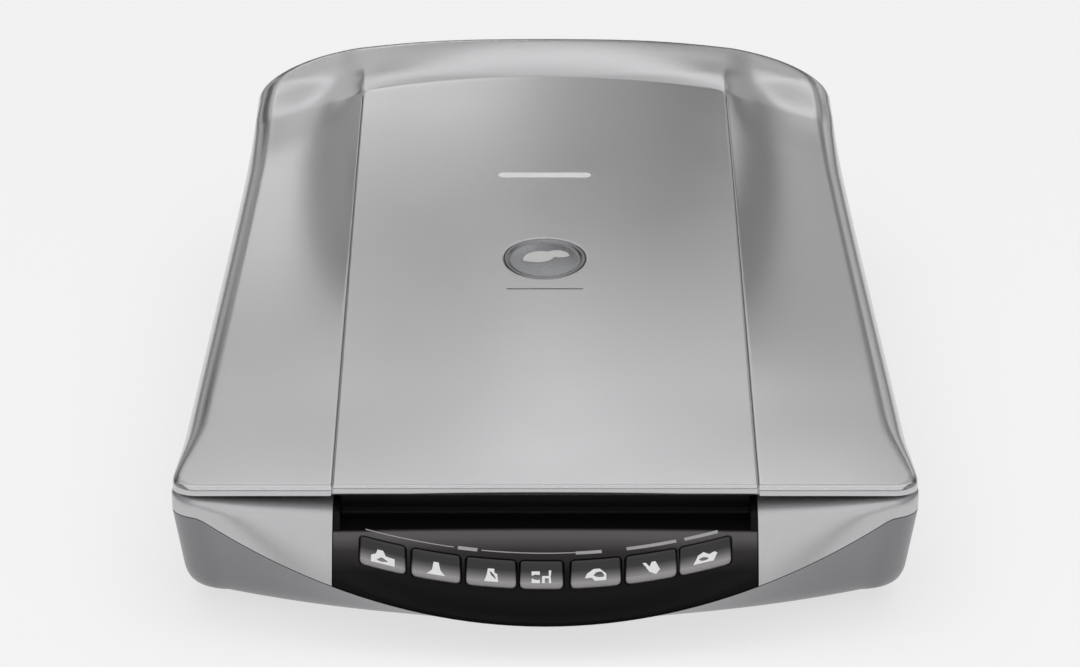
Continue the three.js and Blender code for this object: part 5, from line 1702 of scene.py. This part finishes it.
# Softboxes on a sphere of LIGHT_RADIUS round LIGHT_MIDDLE, in metres: azimuth (0 is behind the scanner, 90 is its
# right), elevation, width and height, all in degrees, and strength.
LIGHT_RADIUS = 2.4
LIGHT_MIDDLE = Vector((0, 0, 0.06))
WORLD_LIGHT = 0.045
LIGHTS = [
    ("back_low_left", -26, 12, 24, 12, 0.5),
    ("back_low_right", 26, 12, 24, 12, 0.55),
    ("strip_far_left", -13, 20.5, 8, 6, 0.44),
    ("strip_left", -5, 20.5, 8, 6, 1.74),
    ("strip_middle", 1, 20.5, 4, 6, 0.6),
    ("strip_right", 8, 20.5, 5, 6, 0.8),
    ("strip_far_right", 13, 20.5, 4, 6, 0.24),
    ("back_right", 24, 22, 10, 10, 0.7),
    ("gap_left", -9, 28.5, 6, 4, 0.6),
    ("gap_right", 8, 26.5, 5, 5, 0.4),
    ("gap_far_right", 15, 26.5, 5, 5, 0.12),
    ("back_mid_outer_left", -28, 33, 20, 8, 0.12),
    ("back_mid_far_left", -14, 33, 8, 8, 0.65),
    ("back_mid_left", -4, 33, 8, 8, 0.71),
    ("back_mid_right", 4, 33, 8, 8, 0.98),
    ("back_mid_far_right", 14, 33, 8, 8, 0.4),
    ("back_mid_outer_right", 28, 33, 20, 8, 0.25),
    ("back_high_left", -16, 40, 16, 6, 0.5),
    ("back_high", 0, 39, 16, 6, 1.0),
    ("back_high_right", 16, 40, 16, 6, 0.28),
    ("back_upper", 0, 48, 50, 12, 0.5),
    ("top_back", 0, 65, 90, 22, 0.8),
    ("top", 0, 83, 70, 16, 0.95),
    ("top_front", 180, 80, 80, 20, 1.05),
    ("front_high", 180, 62, 80, 17, 0.85),
    ("front_mid", 180, 46, 80, 13, 1.15),
    ("front_key", 180, 30, 80, 13, 1.25),
    ("front_low", 180, 14, 80, 13, 0.68),
    ("left_side", -95, 20, 60, 30, 0.3),
    ("right_side", 95, 20, 60, 30, 0.3),
]


def add_lights():
    world = bpy.data.worlds.new("studio")
    bpy.context.scene.world = world
    world.use_nodes = True
    background = world.node_tree.nodes["Background"]
    background.inputs["Color"].default_value = WHITE
    background.inputs["Strength"].default_value = WORLD_LIGHT
    for name, azimuth, elevation, width, height, strength in LIGHTS:
        turn, rise = math.radians(azimuth), math.radians(elevation)
        level = math.cos(rise)
        toward_light = Vector((math.sin(turn) * level, math.cos(turn) * level, math.sin(rise)))
        sizes = [2 * LIGHT_RADIUS * math.tan(math.radians(angle / 2)) for angle in (width, height)]
        softbox(name, LIGHT_MIDDLE + LIGHT_RADIUS * toward_light, LIGHT_MIDDLE, *sizes, strength)


CAMERA_TILT = math.radians(20)
CAMERA_PLACE = (-0.0019, -2.0684, 0.7912)
CAMERA_LENS = 184.3
CAMERA_SENSOR = 36.0
CAMERA_CLIP = (0.05, 50)


def add_camera():
    camera = bpy.data.cameras.new("camera")
    camera.lens = CAMERA_LENS
    camera.sensor_width = CAMERA_SENSOR
    camera.clip_start, camera.clip_end = CAMERA_CLIP
    obj = link(bpy.data.objects.new("camera", camera))
    obj.location = CAMERA_PLACE
    obj.rotation_euler = (math.pi / 2 - CAMERA_TILT, 0, 0)
    bpy.context.scene.camera = obj


# ---------------------------------------------------------------- all of it

bpy.context.scene.view_settings.view_transform = "Standard"
add_camera()
add_lights()
add_stage()
add_lid_cover()
add_centre_panel()
add_badge()
add_lid_marks()
add_upper_case()
add_tray()
add_control_panel()
for number, (x0, x1) in enumerate(key_spans, 1):
    add_key(number, x0, x1)
    add_icon(number, x0, x1)
add_face_marks()
add_pad()
add_feet_and_screws()
add_board_parts()
add_drive_parts()
add_underside()
finish_nodes()

boxes = {"cad": cad_box, "visual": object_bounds()}
{name: [list(corner) for corner in pair] for name, pair in boxes.items()}
